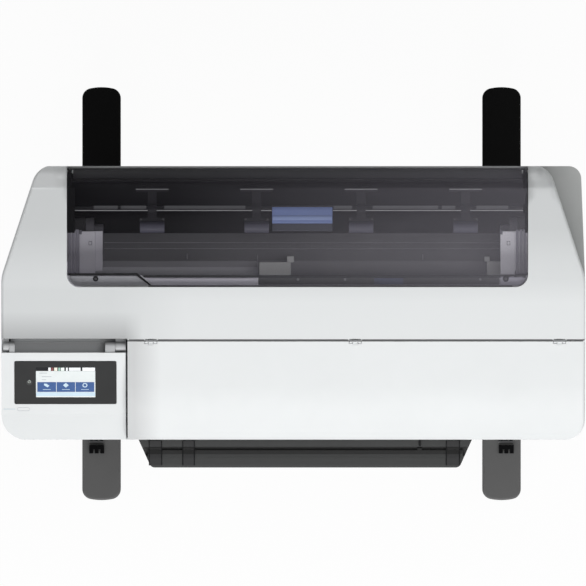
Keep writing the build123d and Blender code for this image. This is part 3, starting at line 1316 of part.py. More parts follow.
def carriage():
    """Carriage body, bored for the guide shaft, with a forked clamp round the belt."""
    left = CARRIAGE_HOME - CARRIAGE_WIDTH / 2
    right = CARRIAGE_HOME + CARRIAGE_WIDTH / 2
    body = block(left, right, CARRIAGE_FRONT, CARRIAGE_REAR, height(CARRIAGE_BOTTOM), height(CARRIAGE_TOP))
    body = fillet(body.edges().filter_by(Axis.Z), CARRIAGE_CORNER)
    belt_y = BELT_Y - PULLEY_RADIUS - BELT_GAP - BELT_THICKNESS / 2
    clamp = block(CARRIAGE_HOME - CLAMP_WIDTH / 2, CARRIAGE_HOME + CLAMP_WIDTH / 2,
                  belt_y - CLAMP_LENGTH / 2, belt_y + CLAMP_LENGTH / 2,
                  height(CARRIAGE_TOP) - CARRIAGE_CORNER, height(CLAMP_TOP))
    slot_half = BELT_THICKNESS / 2 + BELT_GAP
    slot = block(left, right, belt_y - slot_half, belt_y + slot_half,
                 height(BELT_Z) - BELT_WIDTH / 2 - BELT_GAP, height(CLAMP_TOP))
    bore = rod_x(GUIDE_RADIUS + RUNNING_GAP, left, right, GUIDE_Y, height(GUIDE_Z))
    return body + clamp - slot - bore


def print_head():
    """Print head under the carriage."""
    y = (CARRIAGE_FRONT + CARRIAGE_REAR) / 2
    return block(CARRIAGE_HOME - HEAD_WIDTH / 2, CARRIAGE_HOME + HEAD_WIDTH / 2, y - HEAD_LENGTH / 2,
                 y + HEAD_LENGTH / 2, height(PAPER_PLANE + HEAD_GAP), height(CARRIAGE_BOTTOM))


def cap_sled():
    """Cap that closes the print head at rest, with a soft lip and a guide post."""
    y = (CARRIAGE_FRONT + CARRIAGE_REAR) / 2
    top = height(PAPER_PLANE + HEAD_GAP - CAP_GAP)
    sled = block(CARRIAGE_HOME - CAP_WIDTH / 2, CARRIAGE_HOME + CAP_WIDTH / 2, y - CAP_LENGTH / 2,
                 y + CAP_LENGTH / 2, top - CAP_HEIGHT, top)
    well = block(CARRIAGE_HOME - HEAD_WIDTH / 2 + CAP_LIP, CARRIAGE_HOME + HEAD_WIDTH / 2 - CAP_LIP,
                 y - HEAD_LENGTH / 2 + CAP_LIP, y + HEAD_LENGTH / 2 - CAP_LIP, top - 2 * CAP_LIP, top)
    post = rod_z(CAP_LIP, CARRIAGE_HOME, y, height(WASTE_BOX_HEIGHT), top - CAP_HEIGHT)
    return sled - well + post


def waste_ink_box():
    """Waste ink box under the cap, with the guide tube of the cap's post."""
    y = (CARRIAGE_FRONT + CARRIAGE_REAR) / 2
    box = block(CARRIAGE_HOME - WASTE_BOX_WIDTH / 2, CARRIAGE_HOME + WASTE_BOX_WIDTH / 2,
                y - WASTE_BOX_LENGTH / 2, y + WASTE_BOX_LENGTH / 2,
                height(PAN_WALL), height(WASTE_BOX_HEIGHT))
    tube = rod_z(2 * CAP_LIP, CARRIAGE_HOME, y, height(WASTE_BOX_HEIGHT),
                 height(WASTE_BOX_HEIGHT) + 3 * CAP_LIP)
    bore = rod_z(CAP_LIP + RUNNING_GAP, CARRIAGE_HOME, y, height(WASTE_BOX_HEIGHT - 3 * CAP_LIP),
                 height(PAPER_PLANE))
    return box + tube - bore


def ink_bay_span():
    """X places of the outer sides of the ink bay."""
    width = INK_COUNT * (INK_WIDTH + INK_GAP) + INK_GAP + 2 * INK_BAY_WALL
    return CARRIAGE_HOME - width / 2, CARRIAGE_HOME + width / 2


def ink_bay():
    """Open-fronted holder for the cartridges."""
    low, high = ink_bay_span()
    rear = INK_BAY_FRONT + INK_DEPTH + INK_BAY_WALL
    holder = block(low, high, INK_BAY_FRONT, rear, height(PAN_WALL),
                   height(INK_BAY_BOTTOM + INK_HEIGHT / 2))
    holder -= block(low + INK_BAY_WALL, high - INK_BAY_WALL, INK_BAY_FRONT, rear - INK_BAY_WALL,
                    height(INK_BAY_BOTTOM), height(INK_BAY_BOTTOM + INK_HEIGHT))
    return holder


def ink_cartridges():
    """Row of cartridges standing in the bay."""
    low, _ = ink_bay_span()
    cartridges = []
    for index in range(INK_COUNT):
        x = low + INK_BAY_WALL + INK_GAP + index * (INK_WIDTH + INK_GAP)
        cartridge = block(x, x + INK_WIDTH, INK_BAY_FRONT, INK_BAY_FRONT + INK_DEPTH,
                          height(INK_BAY_BOTTOM), height(INK_BAY_BOTTOM + INK_HEIGHT))
        cartridges.append(fillet(cartridge.edges().filter_by(Axis.X), SHELL_WALL).solid())
    return Compound(children=cartridges)


def chute_height(y):
    """Height of the output chute's top at a Y place."""
    fall = (CHUTE_REAR_Z - CHUTE_LIP_Z) / (CHUTE_REAR - BODY_FRONT)
    return height(CHUTE_REAR_Z - (CHUTE_REAR - y) * fall)


def output_guide():
    """Dark guide in front: sloping chute, stepped front with a groove, and grip ribs."""
    groove_end = GUIDE_GROOVE_Y - GUIDE_GROOVE_WIDTH
    profile = rounded_outline([
        (CHUTE_REAR, chute_height(CHUTE_REAR), 0),
        (BODY_FRONT, chute_height(BODY_FRONT), 0),
        (GUIDE_GROOVE_Y, chute_height(GUIDE_GROOVE_Y), 0),
        (GUIDE_GROOVE_Y - SHELL_WALL, chute_height(GUIDE_GROOVE_Y) - GUIDE_STEP, 0),
        (groove_end, chute_height(groove_end) - GUIDE_STEP, 0),
        (groove_end - SHELL_WALL, chute_height(groove_end) - SHELL_WALL, 0),
        (GUIDE_FRONT, chute_height(GUIDE_FRONT), NOSE_RADIUS / 5),
        (GUIDE_FRONT, height(GUIDE_BOTTOM), NOSE_RADIUS / 5),
        (BODY_FRONT, height(GUIDE_BOTTOM), 0),
        (BODY_FRONT, chute_height(BODY_FRONT) - CHUTE_WALL, 0),
        (CHUTE_REAR, chute_height(CHUTE_REAR) - CHUTE_WALL, 0),
    ])
    guide = extrude_x(profile, GUIDE_LEFT, GUIDE_RIGHT)
    plan = rounded_outline([
        (GUIDE_LEFT, CHUTE_REAR, 0),
        (GUIDE_LEFT, BODY_FRONT, 0),
        (GUIDE_LEFT + GUIDE_TAPER, GUIDE_FRONT, GUIDE_STEP),
        (GUIDE_RIGHT - GUIDE_TAPER, GUIDE_FRONT, GUIDE_STEP),
        (GUIDE_RIGHT, BODY_FRONT, 0),
        (GUIDE_RIGHT, CHUTE_REAR, 0),
    ])
    guide = guide & extrude_z(plan, height(0), height(BODY_HEIGHT))
    rib_top = chute_height(groove_end) - RIB_DEPTH
    for x in RIB_POSITIONS:
        guide += block(x - RIB_WIDTH / 2, x + RIB_WIDTH / 2, groove_end, GUIDE_GROOVE_Y,
                       rib_top - GUIDE_STEP, rib_top)
    return guide


def corner_pod():
    """Grey right rear corner casing that holds the sockets."""
    outline = lower_outline() - upper_outline()
    corner = Rectangle(BODY_WIDTH / 2, 2 * (BODY_REAR - SHOULDER_Y))
    outline = outline & (Pos(BODY_WIDTH / 2, BODY_REAR) * corner)
    pod = extrude_z(outline, height(PAN_HEIGHT), height(POD_HEIGHT))
    sockets = inlet_body(SIDE_GAP / 4) + socket_body(LAN_Z, LAN_SIZE) + socket_body(USB_Z, USB_SIZE)
    return pod.solids().sort_by(SortBy.VOLUME)[-1] - sockets


def inlet_body(gap):
    """Outer block of the power inlet."""
    return block(SOCKET_X - INLET_WIDTH / 2 - gap, SOCKET_X + INLET_WIDTH / 2 + gap,
                 BODY_REAR - INLET_DEPTH, BODY_REAR + SHELL_WALL * (1 if gap else 0),
                 height(INLET_Z - INLET_HEIGHT / 2) - gap, height(INLET_Z + INLET_HEIGHT / 2) + gap)


def power_inlet():
    """Three-pin power inlet."""
    inlet = inlet_body(0)
    wall = SOCKET_WALL
    inlet -= block(SOCKET_X - INLET_WIDTH / 2 + wall, SOCKET_X + INLET_WIDTH / 2 - wall,
                   BODY_REAR - INLET_HOLLOW, BODY_REAR,
                   height(INLET_Z - INLET_HEIGHT / 2) + wall, height(INLET_Z + INLET_HEIGHT / 2) - wall)
    for step, rise in ((-1, -PIN_RISE), (0, PIN_RISE), (1, -PIN_RISE)):
        x = SOCKET_X + step * PIN_PITCH
        z = height(INLET_Z + rise)
        inlet += block(x - PIN_SIZE / 2, x + PIN_SIZE / 2, BODY_REAR - INLET_HOLLOW,
                       BODY_REAR - INLET_HOLLOW + PIN_LENGTH, z - PIN_SIZE, z + PIN_SIZE)
    return inlet


def socket_body(z, size):
    """Outer block of a data socket."""
    return block(SOCKET_X - size / 2, SOCKET_X + size / 2, BODY_REAR - SOCKET_DEPTH, BODY_REAR,
                 height(z) - size / 2, height(z) + size / 2)


def data_sockets():
    """Network socket and computer socket, both open to the rear."""
    sockets = []
    wall = SOCKET_WALL / 2
    for z, size in ((LAN_Z, LAN_SIZE), (USB_Z, USB_SIZE)):
        hollow = block(SOCKET_X - size / 2 + wall, SOCKET_X + size / 2 - wall, BODY_REAR - SOCKET_HOLLOW,
                       BODY_REAR, height(z) - size / 2 + wall, height(z) + size / 2 - wall)
        sockets.append((socket_body(z, size) - hollow).solid())
    return Compound(children=sockets)


def main_board():
    """Control board with its large components, beside the bay."""
    left, _ = bay_ends()
    right = left - 2 * BAY_WALL
    low = SHOULDER_Y - BOARD_WIDTH / 2
    z = height(BOARD_Z)
    board = block(right - BOARD_WIDTH, right, low, low + BOARD_LENGTH, z, z + BOARD_THICKNESS)
    size = BOARD_WIDTH / BOARD_PARTS
    pitch = (BOARD_LENGTH - size) / BOARD_PARTS
    for index in range(BOARD_PARTS):
        y = low + size + index * pitch
        board += block(right - 2 * size, right - size, y, y + size, z, z + size / 3)
    for y in (low, low + BOARD_LENGTH - size):
        board += block(right - BOARD_WIDTH, right, y, y + size / 2, height(PAN_WALL), z)
    return board


def power_supply():
    """Mains supply in its case, beside the bay."""
    _, right = bay_ends()
    left = right + 2 * BAY_WALL
    low = SHOULDER_Y
    case = block(left, left + SUPPLY_WIDTH, low, low + SUPPLY_LENGTH,
                 height(PAN_WALL), height(SUPPLY_HEIGHT))
    return fillet(case.edges().filter_by(Axis.Z), SHELL_WALL)


def build_stand():
    """Feet, columns, crossbar and small stand parts."""
    left, right = foot_centres()
    save("stand_foot_left", foot(left))
    save("stand_foot_right", foot(right))
    save("rear_foot_covers", rear_foot_covers())
    save("stand_column_left", column(left))
    save("stand_column_right", column(right))
    save("stand_crossbar", crossbar())
    save("stand_screws", stand_screws())
    save("cable_hooks", cable_hooks())


def build_casters():
    """Four twin-wheel casters, the front ones with a brake pedal."""
    for name, x, y, trail in caster_places():
        fork = caster_fork(x, y, trail)
        if name.startswith("front"):
            fork += pedal_bracket(x, y, trail)
            save(f"brake_pedal_{name}", brake_pedal(x, y, trail))
        save(f"caster_fork_{name}", fork)
        save(f"caster_wheel_{name}", caster_wheel(x, y, trail))


def build_casings(outer, inner):
    """Casings and covers."""
    save("base_pan", base_pan())
    save("top_housing", top_housing(outer, inner))
    save("corner_pod", corner_pod())
    save("output_guide", output_guide())
    save("front_cover", front_cover(outer, inner))
    save("roll_cover_window", roll_cover_window(outer, inner))
    save("roll_cover_frame", roll_cover_frame(inner))
    save("panel_housing", panel_housing())
    save("hinge_pins", knuckle_pins() + cover_pins() + panel_pins(0))
    save("panel_bezel", panel_bezel())
    save("display_glass", display_glass())
    save("power_button", power_button())


def build_bay(outer):
    """Roll bay and what turns in it."""
    left_face, right_face = hub_faces()
    save("roll_bay", roll_bay(outer))
    save("roll_supports", roll_support(left_face, -1) + roll_support(right_face, 1))
    save("roll_hub_left", roll_hub(left_face, -1))
    save("roll_hub_right", roll_hub(right_face, 1))
    save("pressure_bar", pressure_bar())
    save("pressure_arms", pressure_arms())
    save("pressure_rollers", pressure_rollers())
    save("blue_grip", blue_grip())


def build_engine():
    """Print engine."""
    save("side_frames", side_frame_left() + side_frame_right())
    save("guide_shaft", guide_shaft())
    save("carriage_rail", carriage_rail())
    save("drive_belt", drive_belt())
    save("drive_pulley", belt_pulley(DRIVE_PULLEY_X, 0))
    save("idler_pulley", belt_pulley(IDLER_PULLEY_X, MOTOR_SHAFT_RADIUS))
    save("drive_motors", drive_motors())
    save("platen", platen())
    save("feed_roller", feed_roller())
    save("motor_pinion", motor_pinion())
    save("pinch_rollers", pinch_rollers())
    save("output_roller", output_roller())
    save("carriage", carriage())
    save("print_head", print_head())
    save("cap_sled", cap_sled())
    save("waste_ink_box", waste_ink_box())
    save("ink_bay", ink_bay())
    save("ink_cartridges", ink_cartridges())


def build_electrics():
    """Boards and sockets."""
    save("main_board", main_board())
    save("power_supply", power_supply())
    save("power_inlet", power_inlet())
    save("data_sockets", data_sockets())


def main():
    os.makedirs("parts", exist_ok=True)
    outer = body_form(0)
    inner = body_form(SHELL_WALL)
    build_stand()
    build_casters()
    build_casings(outer, inner)
    build_bay(outer)
    build_engine()
    build_electrics()


main()
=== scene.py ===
import bpy
import bmesh
import math
from mathutils import Matrix, Vector


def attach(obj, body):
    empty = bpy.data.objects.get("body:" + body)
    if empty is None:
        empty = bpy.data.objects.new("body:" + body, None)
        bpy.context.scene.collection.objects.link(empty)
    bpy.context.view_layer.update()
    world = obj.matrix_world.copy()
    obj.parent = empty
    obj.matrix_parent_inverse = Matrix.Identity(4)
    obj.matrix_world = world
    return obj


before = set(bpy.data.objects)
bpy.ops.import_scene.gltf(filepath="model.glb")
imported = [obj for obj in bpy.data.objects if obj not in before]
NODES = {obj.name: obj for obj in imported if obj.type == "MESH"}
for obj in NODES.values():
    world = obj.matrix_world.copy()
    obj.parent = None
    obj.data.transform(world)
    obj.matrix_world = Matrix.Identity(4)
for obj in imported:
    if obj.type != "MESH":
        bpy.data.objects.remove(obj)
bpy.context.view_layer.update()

# Metres. +X to the right of the printer, -Y to its front, +Z up; the body's underside is at BASE.
BASE = 0.683
FRAME_LEVEL = BASE + 0.200  # the level from which the pressure frame's small pieces are measured

# The photograph: metres per pixel, its width in pixels, and the pixel that lies over the origin.
PIXEL = 0.001664
PHOTO_SIZE = 586
MIDDLE_X = 293.25
MIDDLE_Y = 293.65

# Front cover: Y and height over BASE of its rear seam, and the X of its three hinges.
SEAM_Y = -0.079
SEAM_HEIGHT = 0.207
HINGE_FIRST = -0.2365
HINGE_STEP = 0.3395
HINGE_PLACES = [HINGE_FIRST + HINGE_STEP * i for i in range(3)]
KNUCKLE_HALF = 0.0115

# Control panel: Y and height over BASE at the foot and at the top of its slope.
PANEL_LOW = (-0.2005, 0.141)
PANEL_HIGH = (-0.098, 0.1935)

# Housing: its front slope rises from the seam to its peak, and the roll bay's sill lies below that slope.
PEAK_Y = 0.070
PEAK_HEIGHT = 0.2313
SILL_DEPTH = 0.013

# Pressure arms: X of the middle of the row of four, and the step from arm to arm.
ARMS_MIDDLE = 0.026
ARM_STEP = 0.1736

CORNERS = ("front_left", "front_right", "rear_left", "rear_right")


def at_x(px):
    """X of a column of the photograph."""
    return (px - MIDDLE_X) * PIXEL


def at_y(py):
    """Y of a line of the photograph."""
    return (MIDDLE_Y - py) * PIXEL


# Materials

# Edge wear: how far the softened normal leans from the true one where wear begins and where it is full.
EDGE_STARTS = 0.02
EDGE_FULL = 0.25
EDGE_RADIUS = 0.0008
BEVEL_SAMPLES = 3
ROLL_SAMPLES = 6

# Painted reflection: the smoked cover's colour is painted lighter from left to right, standing in for the
# reflection that brightens its right side.
PAINTED_REFLECTION_SPAN = (("X", -0.20, 0.40),)
PAINTED_REFLECTION_COLOUR = (0.27, 0.26, 0.30)


def new_material(name):
    material = bpy.data.materials.new(name)
    material.use_nodes = True
    return material, material.node_tree, material.node_tree.nodes["Principled BSDF"]


def noise(tree, scale, detail=3.0, stretch=None):
    """Noise over the object's own coordinates, in metres."""
    coords = tree.nodes.new("ShaderNodeTexCoord")
    source = coords.outputs["Object"]
    if stretch:
        mapping = tree.nodes.new("ShaderNodeMapping")
        mapping.inputs["Scale"].default_value = stretch
        tree.links.new(source, mapping.inputs["Vector"])
        source = mapping.outputs["Vector"]
    texture = tree.nodes.new("ShaderNodeTexNoise")
    texture.inputs["Scale"].default_value = scale
    texture.inputs["Detail"].default_value = detail
    tree.links.new(source, texture.inputs["Vector"])
    return texture.outputs["Fac"]


def ranged(tree, source, low, high, start=0.3, end=0.7):
    """The source's start to end, carried over to low to high."""
    node = tree.nodes.new("ShaderNodeMapRange")
    node.inputs["From Min"].default_value = start
    node.inputs["From Max"].default_value = end
    node.inputs["To Min"].default_value = low
    node.inputs["To Max"].default_value = high
    tree.links.new(source, node.inputs["Value"])
    return node.outputs["Result"]


def blended(tree, factor, first, second):
    """Colour between two, by a factor."""
    node = tree.nodes.new("ShaderNodeMix")
    node.data_type = "RGBA"
    tree.links.new(factor, node.inputs["Factor"])
    for socket, value in ((node.inputs["A"], first), (node.inputs["B"], second)):
        if isinstance(value, tuple):
            socket.default_value = (*value, 1.0)
        else:
            tree.links.new(value, socket)
    return node.outputs["Result"]


def calculated(tree, operation, first, second):
    """Math node over two values."""
    node = tree.nodes.new("ShaderNodeMath")
    node.operation = operation
    tree.links.new(first, node.inputs[0])
    tree.links.new(second, node.inputs[1])
    return node


def bumped(tree, height, strength, distance):
    """Bump node for a fine relief."""
    bump = tree.nodes.new("ShaderNodeBump")
    bump.inputs["Strength"].default_value = strength
    bump.inputs["Distance"].default_value = distance
    tree.links.new(height, bump.inputs["Height"])
    return bump


def mixed_surface(tree, factor, first, second):
    """The material's surface: the first shader where the factor is 0, the second where it is 1."""
    mix = tree.nodes.new("ShaderNodeMixShader")
    tree.links.new(factor, mix.inputs["Fac"])
    tree.links.new(first, mix.inputs[1])
    tree.links.new(second, mix.inputs[2])
    tree.links.new(mix.outputs["Shader"], tree.nodes["Material Output"].inputs["Surface"])


def edge_mask(tree, radius):
    """1 along sharp edges, 0 on flat ground; and the softened normal it comes from."""
    bevel = tree.nodes.new("ShaderNodeBevel")
    bevel.samples = BEVEL_SAMPLES
    bevel.inputs["Radius"].default_value = radius
    geometry = tree.nodes.new("ShaderNodeNewGeometry")
    dot = tree.nodes.new("ShaderNodeVectorMath")
    dot.operation = "DOT_PRODUCT"
    tree.links.new(bevel.outputs["Normal"], dot.inputs[0])
    tree.links.new(geometry.outputs["Normal"], dot.inputs[1])
    mask = ranged(tree, dot.outputs["Value"], 1.0, 0.0, 1.0 - EDGE_FULL, 1.0 - EDGE_STARTS)
    return mask, bevel.outputs["Normal"]


def rolled_normal(tree, radius, spans):
    """Normal softened over a wide radius in a zone, for the casing's rounded-off rear."""
    bevel = tree.nodes.new("ShaderNodeBevel")
    bevel.samples = ROLL_SAMPLES
    width = ranged(tree, zone_mask(tree, spans), EDGE_RADIUS, radius, 0.0, 1.0)
    tree.links.new(width, bevel.inputs["Radius"])
    return bevel.outputs["Normal"]


def scaled(colour, factor):
    """Colour lighter or darker by a factor."""
    return tuple(min(1.0, channel * factor) for channel in colour)


def zone_mask(tree, spans):
    """Product of ramps over the object's own X, Y or Z: 0 at each span's start, 1 at its end."""
    coords = tree.nodes.new("ShaderNodeTexCoord")
    parts = tree.nodes.new("ShaderNodeSeparateXYZ")
    tree.links.new(coords.outputs["Object"], parts.inputs[0])
    mask = None
    for axis, start, end in spans:
        ramp = ranged(tree, parts.outputs[axis], 0.0, 1.0, start, end)
        mask = ramp if mask is None else calculated(tree, "MULTIPLY", mask, ramp).outputs[0]
    return mask


def moulded(name, colour, roughness=0.42, grain=0.12, scale=1500.0, mottle=0.04, metallic=0.0,
            edge=EDGE_RADIUS, wear=0.25, stretch=None, specular=0.5, zones=(), roll_off=None):
    """Moulded plastic, paint or metal: fine grain, slow colour and gloss changes, worn edges.

    Zones are (colour, spans) pairs over the object's coordinates; roll_off is (radius, spans).
    """
    material, tree, shader = new_material(name)
    shader.inputs["Metallic"].default_value = metallic
    shader.inputs["Specular IOR Level"].default_value = specular
    slow = noise(tree, 7.0, 4.0)
    cloud = noise(tree, 55.0, 5.0)
    low, high = scaled(colour, 1.0 - mottle), scaled(colour, 1.0 + mottle)
    body = blended(tree, ranged(tree, slow, 0.0, 1.0), low, high)
    for other, spans in zones:
        body = blended(tree, zone_mask(tree, spans), body, other)
    mask, soft = edge_mask(tree, edge)
    patch = calculated(tree, "MULTIPLY", mask, ranged(tree, cloud, 0.0, wear, 0.35, 0.65))
    worn = tuple(min(1.0, channel * 1.35 + 0.02) for channel in colour)
    tree.links.new(blended(tree, patch.outputs[0], body, worn), shader.inputs["Base Color"])
    tree.links.new(ranged(tree, cloud, roughness - 0.05, roughness + 0.07), shader.inputs["Roughness"])
    bump = bumped(tree, noise(tree, scale, 2.0, stretch), grain, 0.0003)
    if roll_off:
        soft = rolled_normal(tree, *roll_off)
    tree.links.new(soft, bump.inputs["Normal"])
    tree.links.new(bump.outputs["Normal"], shader.inputs["Normal"])
    return material


def smoked(name, colour, alpha):
    """Smoked clear plastic sheet, painted lighter to its right as a painted reflection, with faint wiping
    marks in its gloss.
    """
    material, tree, shader = new_material(name)
    # Painted reflection: the base colour turns lighter towards the right.
    painted_reflection = zone_mask(tree, PAINTED_REFLECTION_SPAN)
    tree.links.new(blended(tree, painted_reflection, colour, PAINTED_REFLECTION_COLOUR), shader.inputs["Base Color"])
    shader.inputs["Alpha"].default_value = alpha
    shader.inputs["Specular IOR Level"].default_value = 0.4
    shader.inputs["Specular Tint"].default_value = (0.92, 0.90, 1.0, 1.0)
    wipe = noise(tree, 9.0, 6.0, (0.6, 3.0, 3.0))
    tree.links.new(ranged(tree, wipe, 0.10, 0.22), shader.inputs["Roughness"])
    bump = bumped(tree, noise(tree, 30.0, 2.0), 0.04, 0.0002)
    tree.links.new(bump.outputs["Normal"], shader.inputs["Normal"])
    material.blend_method = "BLEND"
    return material


def screen(name, colour, glow=0.25):
    """Lit part of the display behind its cover sheet."""
    material, tree, shader = new_material(name)
    slow = noise(tree, 60.0, 2.0)
    tint = blended(tree, ranged(tree, slow, 0.0, 1.0), scaled(colour, 0.97), scaled(colour, 1.02))
    tree.links.new(tint, shader.inputs["Base Color"])
    tree.links.new(tint, shader.inputs["Emission Color"])
    shader.inputs["Emission Strength"].default_value = glow
    shader.inputs["Specular IOR Level"].default_value = 0.15
    tree.links.new(ranged(tree, noise(tree, 40.0, 4.0), 0.22, 0.3), shader.inputs["Roughness"])
    return material


# Zones: where a piece is shaded otherwise than its plain colour, as spans of the object's coordinates.
# Painted shadow: the white hinge knuckles are painted dark grey where the seam's dark line crosses them.
KNUCKLES = tuple(
    ((0.30, 0.305, 0.31), (("X", x - 0.0102, x - 0.0098), ("X", x + 0.0102, x + 0.0098),
                           ("Y", -0.0802, -0.0798), ("Y", -0.0752, -0.0756)))
    for x in HINGE_PLACES)
# Painted shade: the front cover's left end is painted darker.
COVER_LEFT = (("X", -0.2200, -0.2640),)
# Painted light: the housing is painted lighter on its front slope, towards the seam.
HOUSING_FRONT = (("Y", 0.0250, -0.0150), ("Y", -0.0800, -0.0790))
# Painted shade: the left end of that front slope is painted back to darker.
HOUSING_FRONT_LEFT = (("X", -0.1800, -0.3000), ("Y", 0.0250, 0.0050), ("Y", -0.0800, -0.0790))
# Painted light: the housing's rear-left corner is painted lighter, offsetting the shading of its rolled-off
# rear.
HOUSING_REAR_LEFT = (("X", -0.3700, -0.4000), ("Y", 0.1720, 0.1780))
# Painted shade: the groove behind the panel is painted grey, and the housing's edge is painted darker as it
# runs down into the groove.
GROOVE = (("X", -0.2758, -0.2766), ("Y", -0.0738, -0.0780), ("Y", -0.0986, -0.0978))
GROOVE_LIP = (("X", -0.2500, -0.2800), ("Y", -0.0300, -0.0745), ("Y", -0.0760, -0.0750))
HOUSING_ROLL = (0.0170, (("Y", 0.1450, 0.1600), ("X", -0.4200, -0.3600)))
# Painted light: the bay floor is painted lighter at its front.
BAY_FRONT = (("Y", 0.0560, 0.0530),)
BAY_FRONT_LEFT = (("Y", 0.0530, 0.0515), ("X", -0.0575, -0.0590))
# Painted shade: the bay is painted near-black behind its rear edge, where the deep bay lies in shadow.
BAY_REAR = (("Y", 0.1004, 0.1010),)
# Painted shade: the roll supports are painted near-black behind their rear edge.
SUPPORT_REAR = (("Y", 0.1036, 0.1042),)
# Painted reflection: the right roll support is painted lighter.
SUPPORT_RIGHT = (("X", 0.300, 0.302),)
# Painted shade: the output guide's groove is painted darker.
GUIDE_GROOVE = (("Y", -0.2550, -0.2556), ("Y", -0.2680, -0.2674))
# Painted shade: the blue grip is painted near-black behind its rear edge, under the bar.
GRIP_REAR = (("Y", 0.1434, 0.1440),)

# Colour, roughness, strength and scale of the grain, and how far the colour wanders.
# Zone colours in these looks are painted light and shade, as noted at each zone. The exception is the bay's
# lighter front-left piece, which is its own colour.
WHITE = moulded("white_casing", (0.755, 0.775, 0.78), 0.42, 0.10, 1700.0, 0.012, wear=0.12, specular=0.35,
                zones=(((0.57, 0.58, 0.585), COVER_LEFT),) + KNUCKLES)
HOUSING = moulded("white_housing", (0.720, 0.740, 0.745), 0.42, 0.10, 1700.0, 0.012, wear=0.12, specular=0.35,
                  zones=(((0.80, 0.82, 0.825), HOUSING_FRONT), ((0.70, 0.72, 0.725), HOUSING_FRONT_LEFT),
                         ((0.90, 0.92, 0.925), HOUSING_REAR_LEFT), ((0.46, 0.47, 0.475), GROOVE_LIP),
                         ((0.53, 0.54, 0.55), GROOVE)) + KNUCKLES,
                  roll_off=HOUSING_ROLL)
GREY = moulded("grey_casing", (0.44, 0.45, 0.445), 0.5, 0.2, 1300.0, 0.04, specular=0.3)
DARK = moulded("dark_casing", (0.034, 0.035, 0.036), 0.5, 0.22, 1200.0, 0.07, wear=0.4, specular=0.2)
STAND_GREY = moulded("stand_paint", (0.118, 0.118, 0.118), 0.45, 0.25, 900.0, 0.05, wear=0.4, specular=0.25)
STAND_BLACK = moulded("stand_cover", (0.0040, 0.0040, 0.0040), 0.45, 0.2, 900.0, 0.1, wear=0.5, specular=0.04)
BLACK = moulded("black_plastic", (0.012, 0.012, 0.013), 0.45, 0.2, 1300.0, 0.1, wear=0.4, specular=0.2)
FRAME = moulded("cover_frame", (0.008, 0.008, 0.009), 0.45, 0.2, 1300.0, 0.1, wear=0.3, specular=0.06)
PEDAL = moulded("pedal_plastic", (0.05, 0.05, 0.052), 0.5, 0.25, 900.0, 0.1, wear=0.6, specular=0.3)
TREAD = moulded("caster_tread", (0.03, 0.03, 0.032), 0.6, 0.35, 700.0, 0.12, wear=0.7, specular=0.3)
SMOKED = smoked("smoked_cover", (0.010, 0.010, 0.012), 0.16)
BAY = moulded("bay_plastic", (0.235, 0.23, 0.25), 0.5, 0.2, 1100.0, 0.07, specular=0.2,
              zones=(((0.45, 0.44, 0.48), BAY_FRONT), ((0.86, 0.85, 0.92), BAY_FRONT_LEFT),
                     ((0.010, 0.009, 0.012), BAY_REAR)))
LILAC = moulded("support_plastic", (0.72, 0.70, 0.78), 0.45, 0.15, 1300.0, 0.04, specular=0.3,
                zones=(((0.94, 0.92, 1.0), SUPPORT_RIGHT), ((0.012, 0.011, 0.014), SUPPORT_REAR)))
HUB = moulded("hub_plastic", (0.30, 0.29, 0.33), 0.45, 0.15, 1300.0, 0.05, specular=0.3)
ARM = moulded("arm_plastic", (0.014, 0.013, 0.017), 0.5, 0.2, 1300.0, 0.06, specular=0.15)
BAR = moulded("bar_paint", (0.014, 0.014, 0.017), 0.4, 0.12, 700.0, 0.08, wear=0.6, specular=0.25)
HOOK = moulded("hook_plastic", (0.003, 0.003, 0.0035), 0.5, 0.2, 1300.0, 0.1, wear=0.3, specular=0.05)
GUIDE = moulded("guide_plastic", (0.054, 0.055, 0.055), 0.5, 0.22, 1200.0, 0.05, wear=0.5, specular=0.08,
                zones=(((0.032, 0.032, 0.032), GUIDE_GROOVE),))
LIGHT_GREY = moulded("sill_plastic", (0.49, 0.49, 0.53), 0.42, 0.12, 1500.0, 0.03, specular=0.3)
BLUE = moulded("blue_plastic", (0.17, 0.235, 0.50), 0.38, 0.1, 1500.0, 0.05, specular=0.35,
               zones=(((0.03, 0.03, 0.04), GRIP_REAR),))
RUBBER = moulded("roller_rubber", (0.09, 0.09, 0.095), 0.65, 0.3, 1600.0, 0.08, specular=0.3)
ROLLER = moulded("pressure_roller", (0.16, 0.155, 0.20), 0.5, 0.2, 1500.0, 0.06, specular=0.3)
STEEL = moulded("steel", (0.55, 0.56, 0.57), 0.32, 0.10, 260.0, 0.06, 1.0, 0.0005, 0.3, (1.0, 40.0, 40.0))
ZINC = moulded("zinc_plate", (0.50, 0.51, 0.52), 0.36, 0.12, 160.0, 0.12, 1.0, 0.0006, 0.3)
BELT = moulded("belt_rubber", (0.02, 0.02, 0.02), 0.6, 0.4, 500.0, 0.1)
BOARD = moulded("board_green", (0.02, 0.14, 0.06), 0.35, 0.3, 400.0, 0.15)
WASTE = moulded("waste_box", (0.30, 0.30, 0.31), 0.5, 0.2, 1100.0, 0.06, specular=0.3)
BEZEL = moulded("bezel_black", (0.028, 0.0285, 0.029), 0.42, 0.15, 1500.0, 0.05, specular=0.10)
BUTTON = moulded("button_black", (0.040, 0.041, 0.042), 0.45, 0.15, 1500.0, 0.05, specular=0.2)

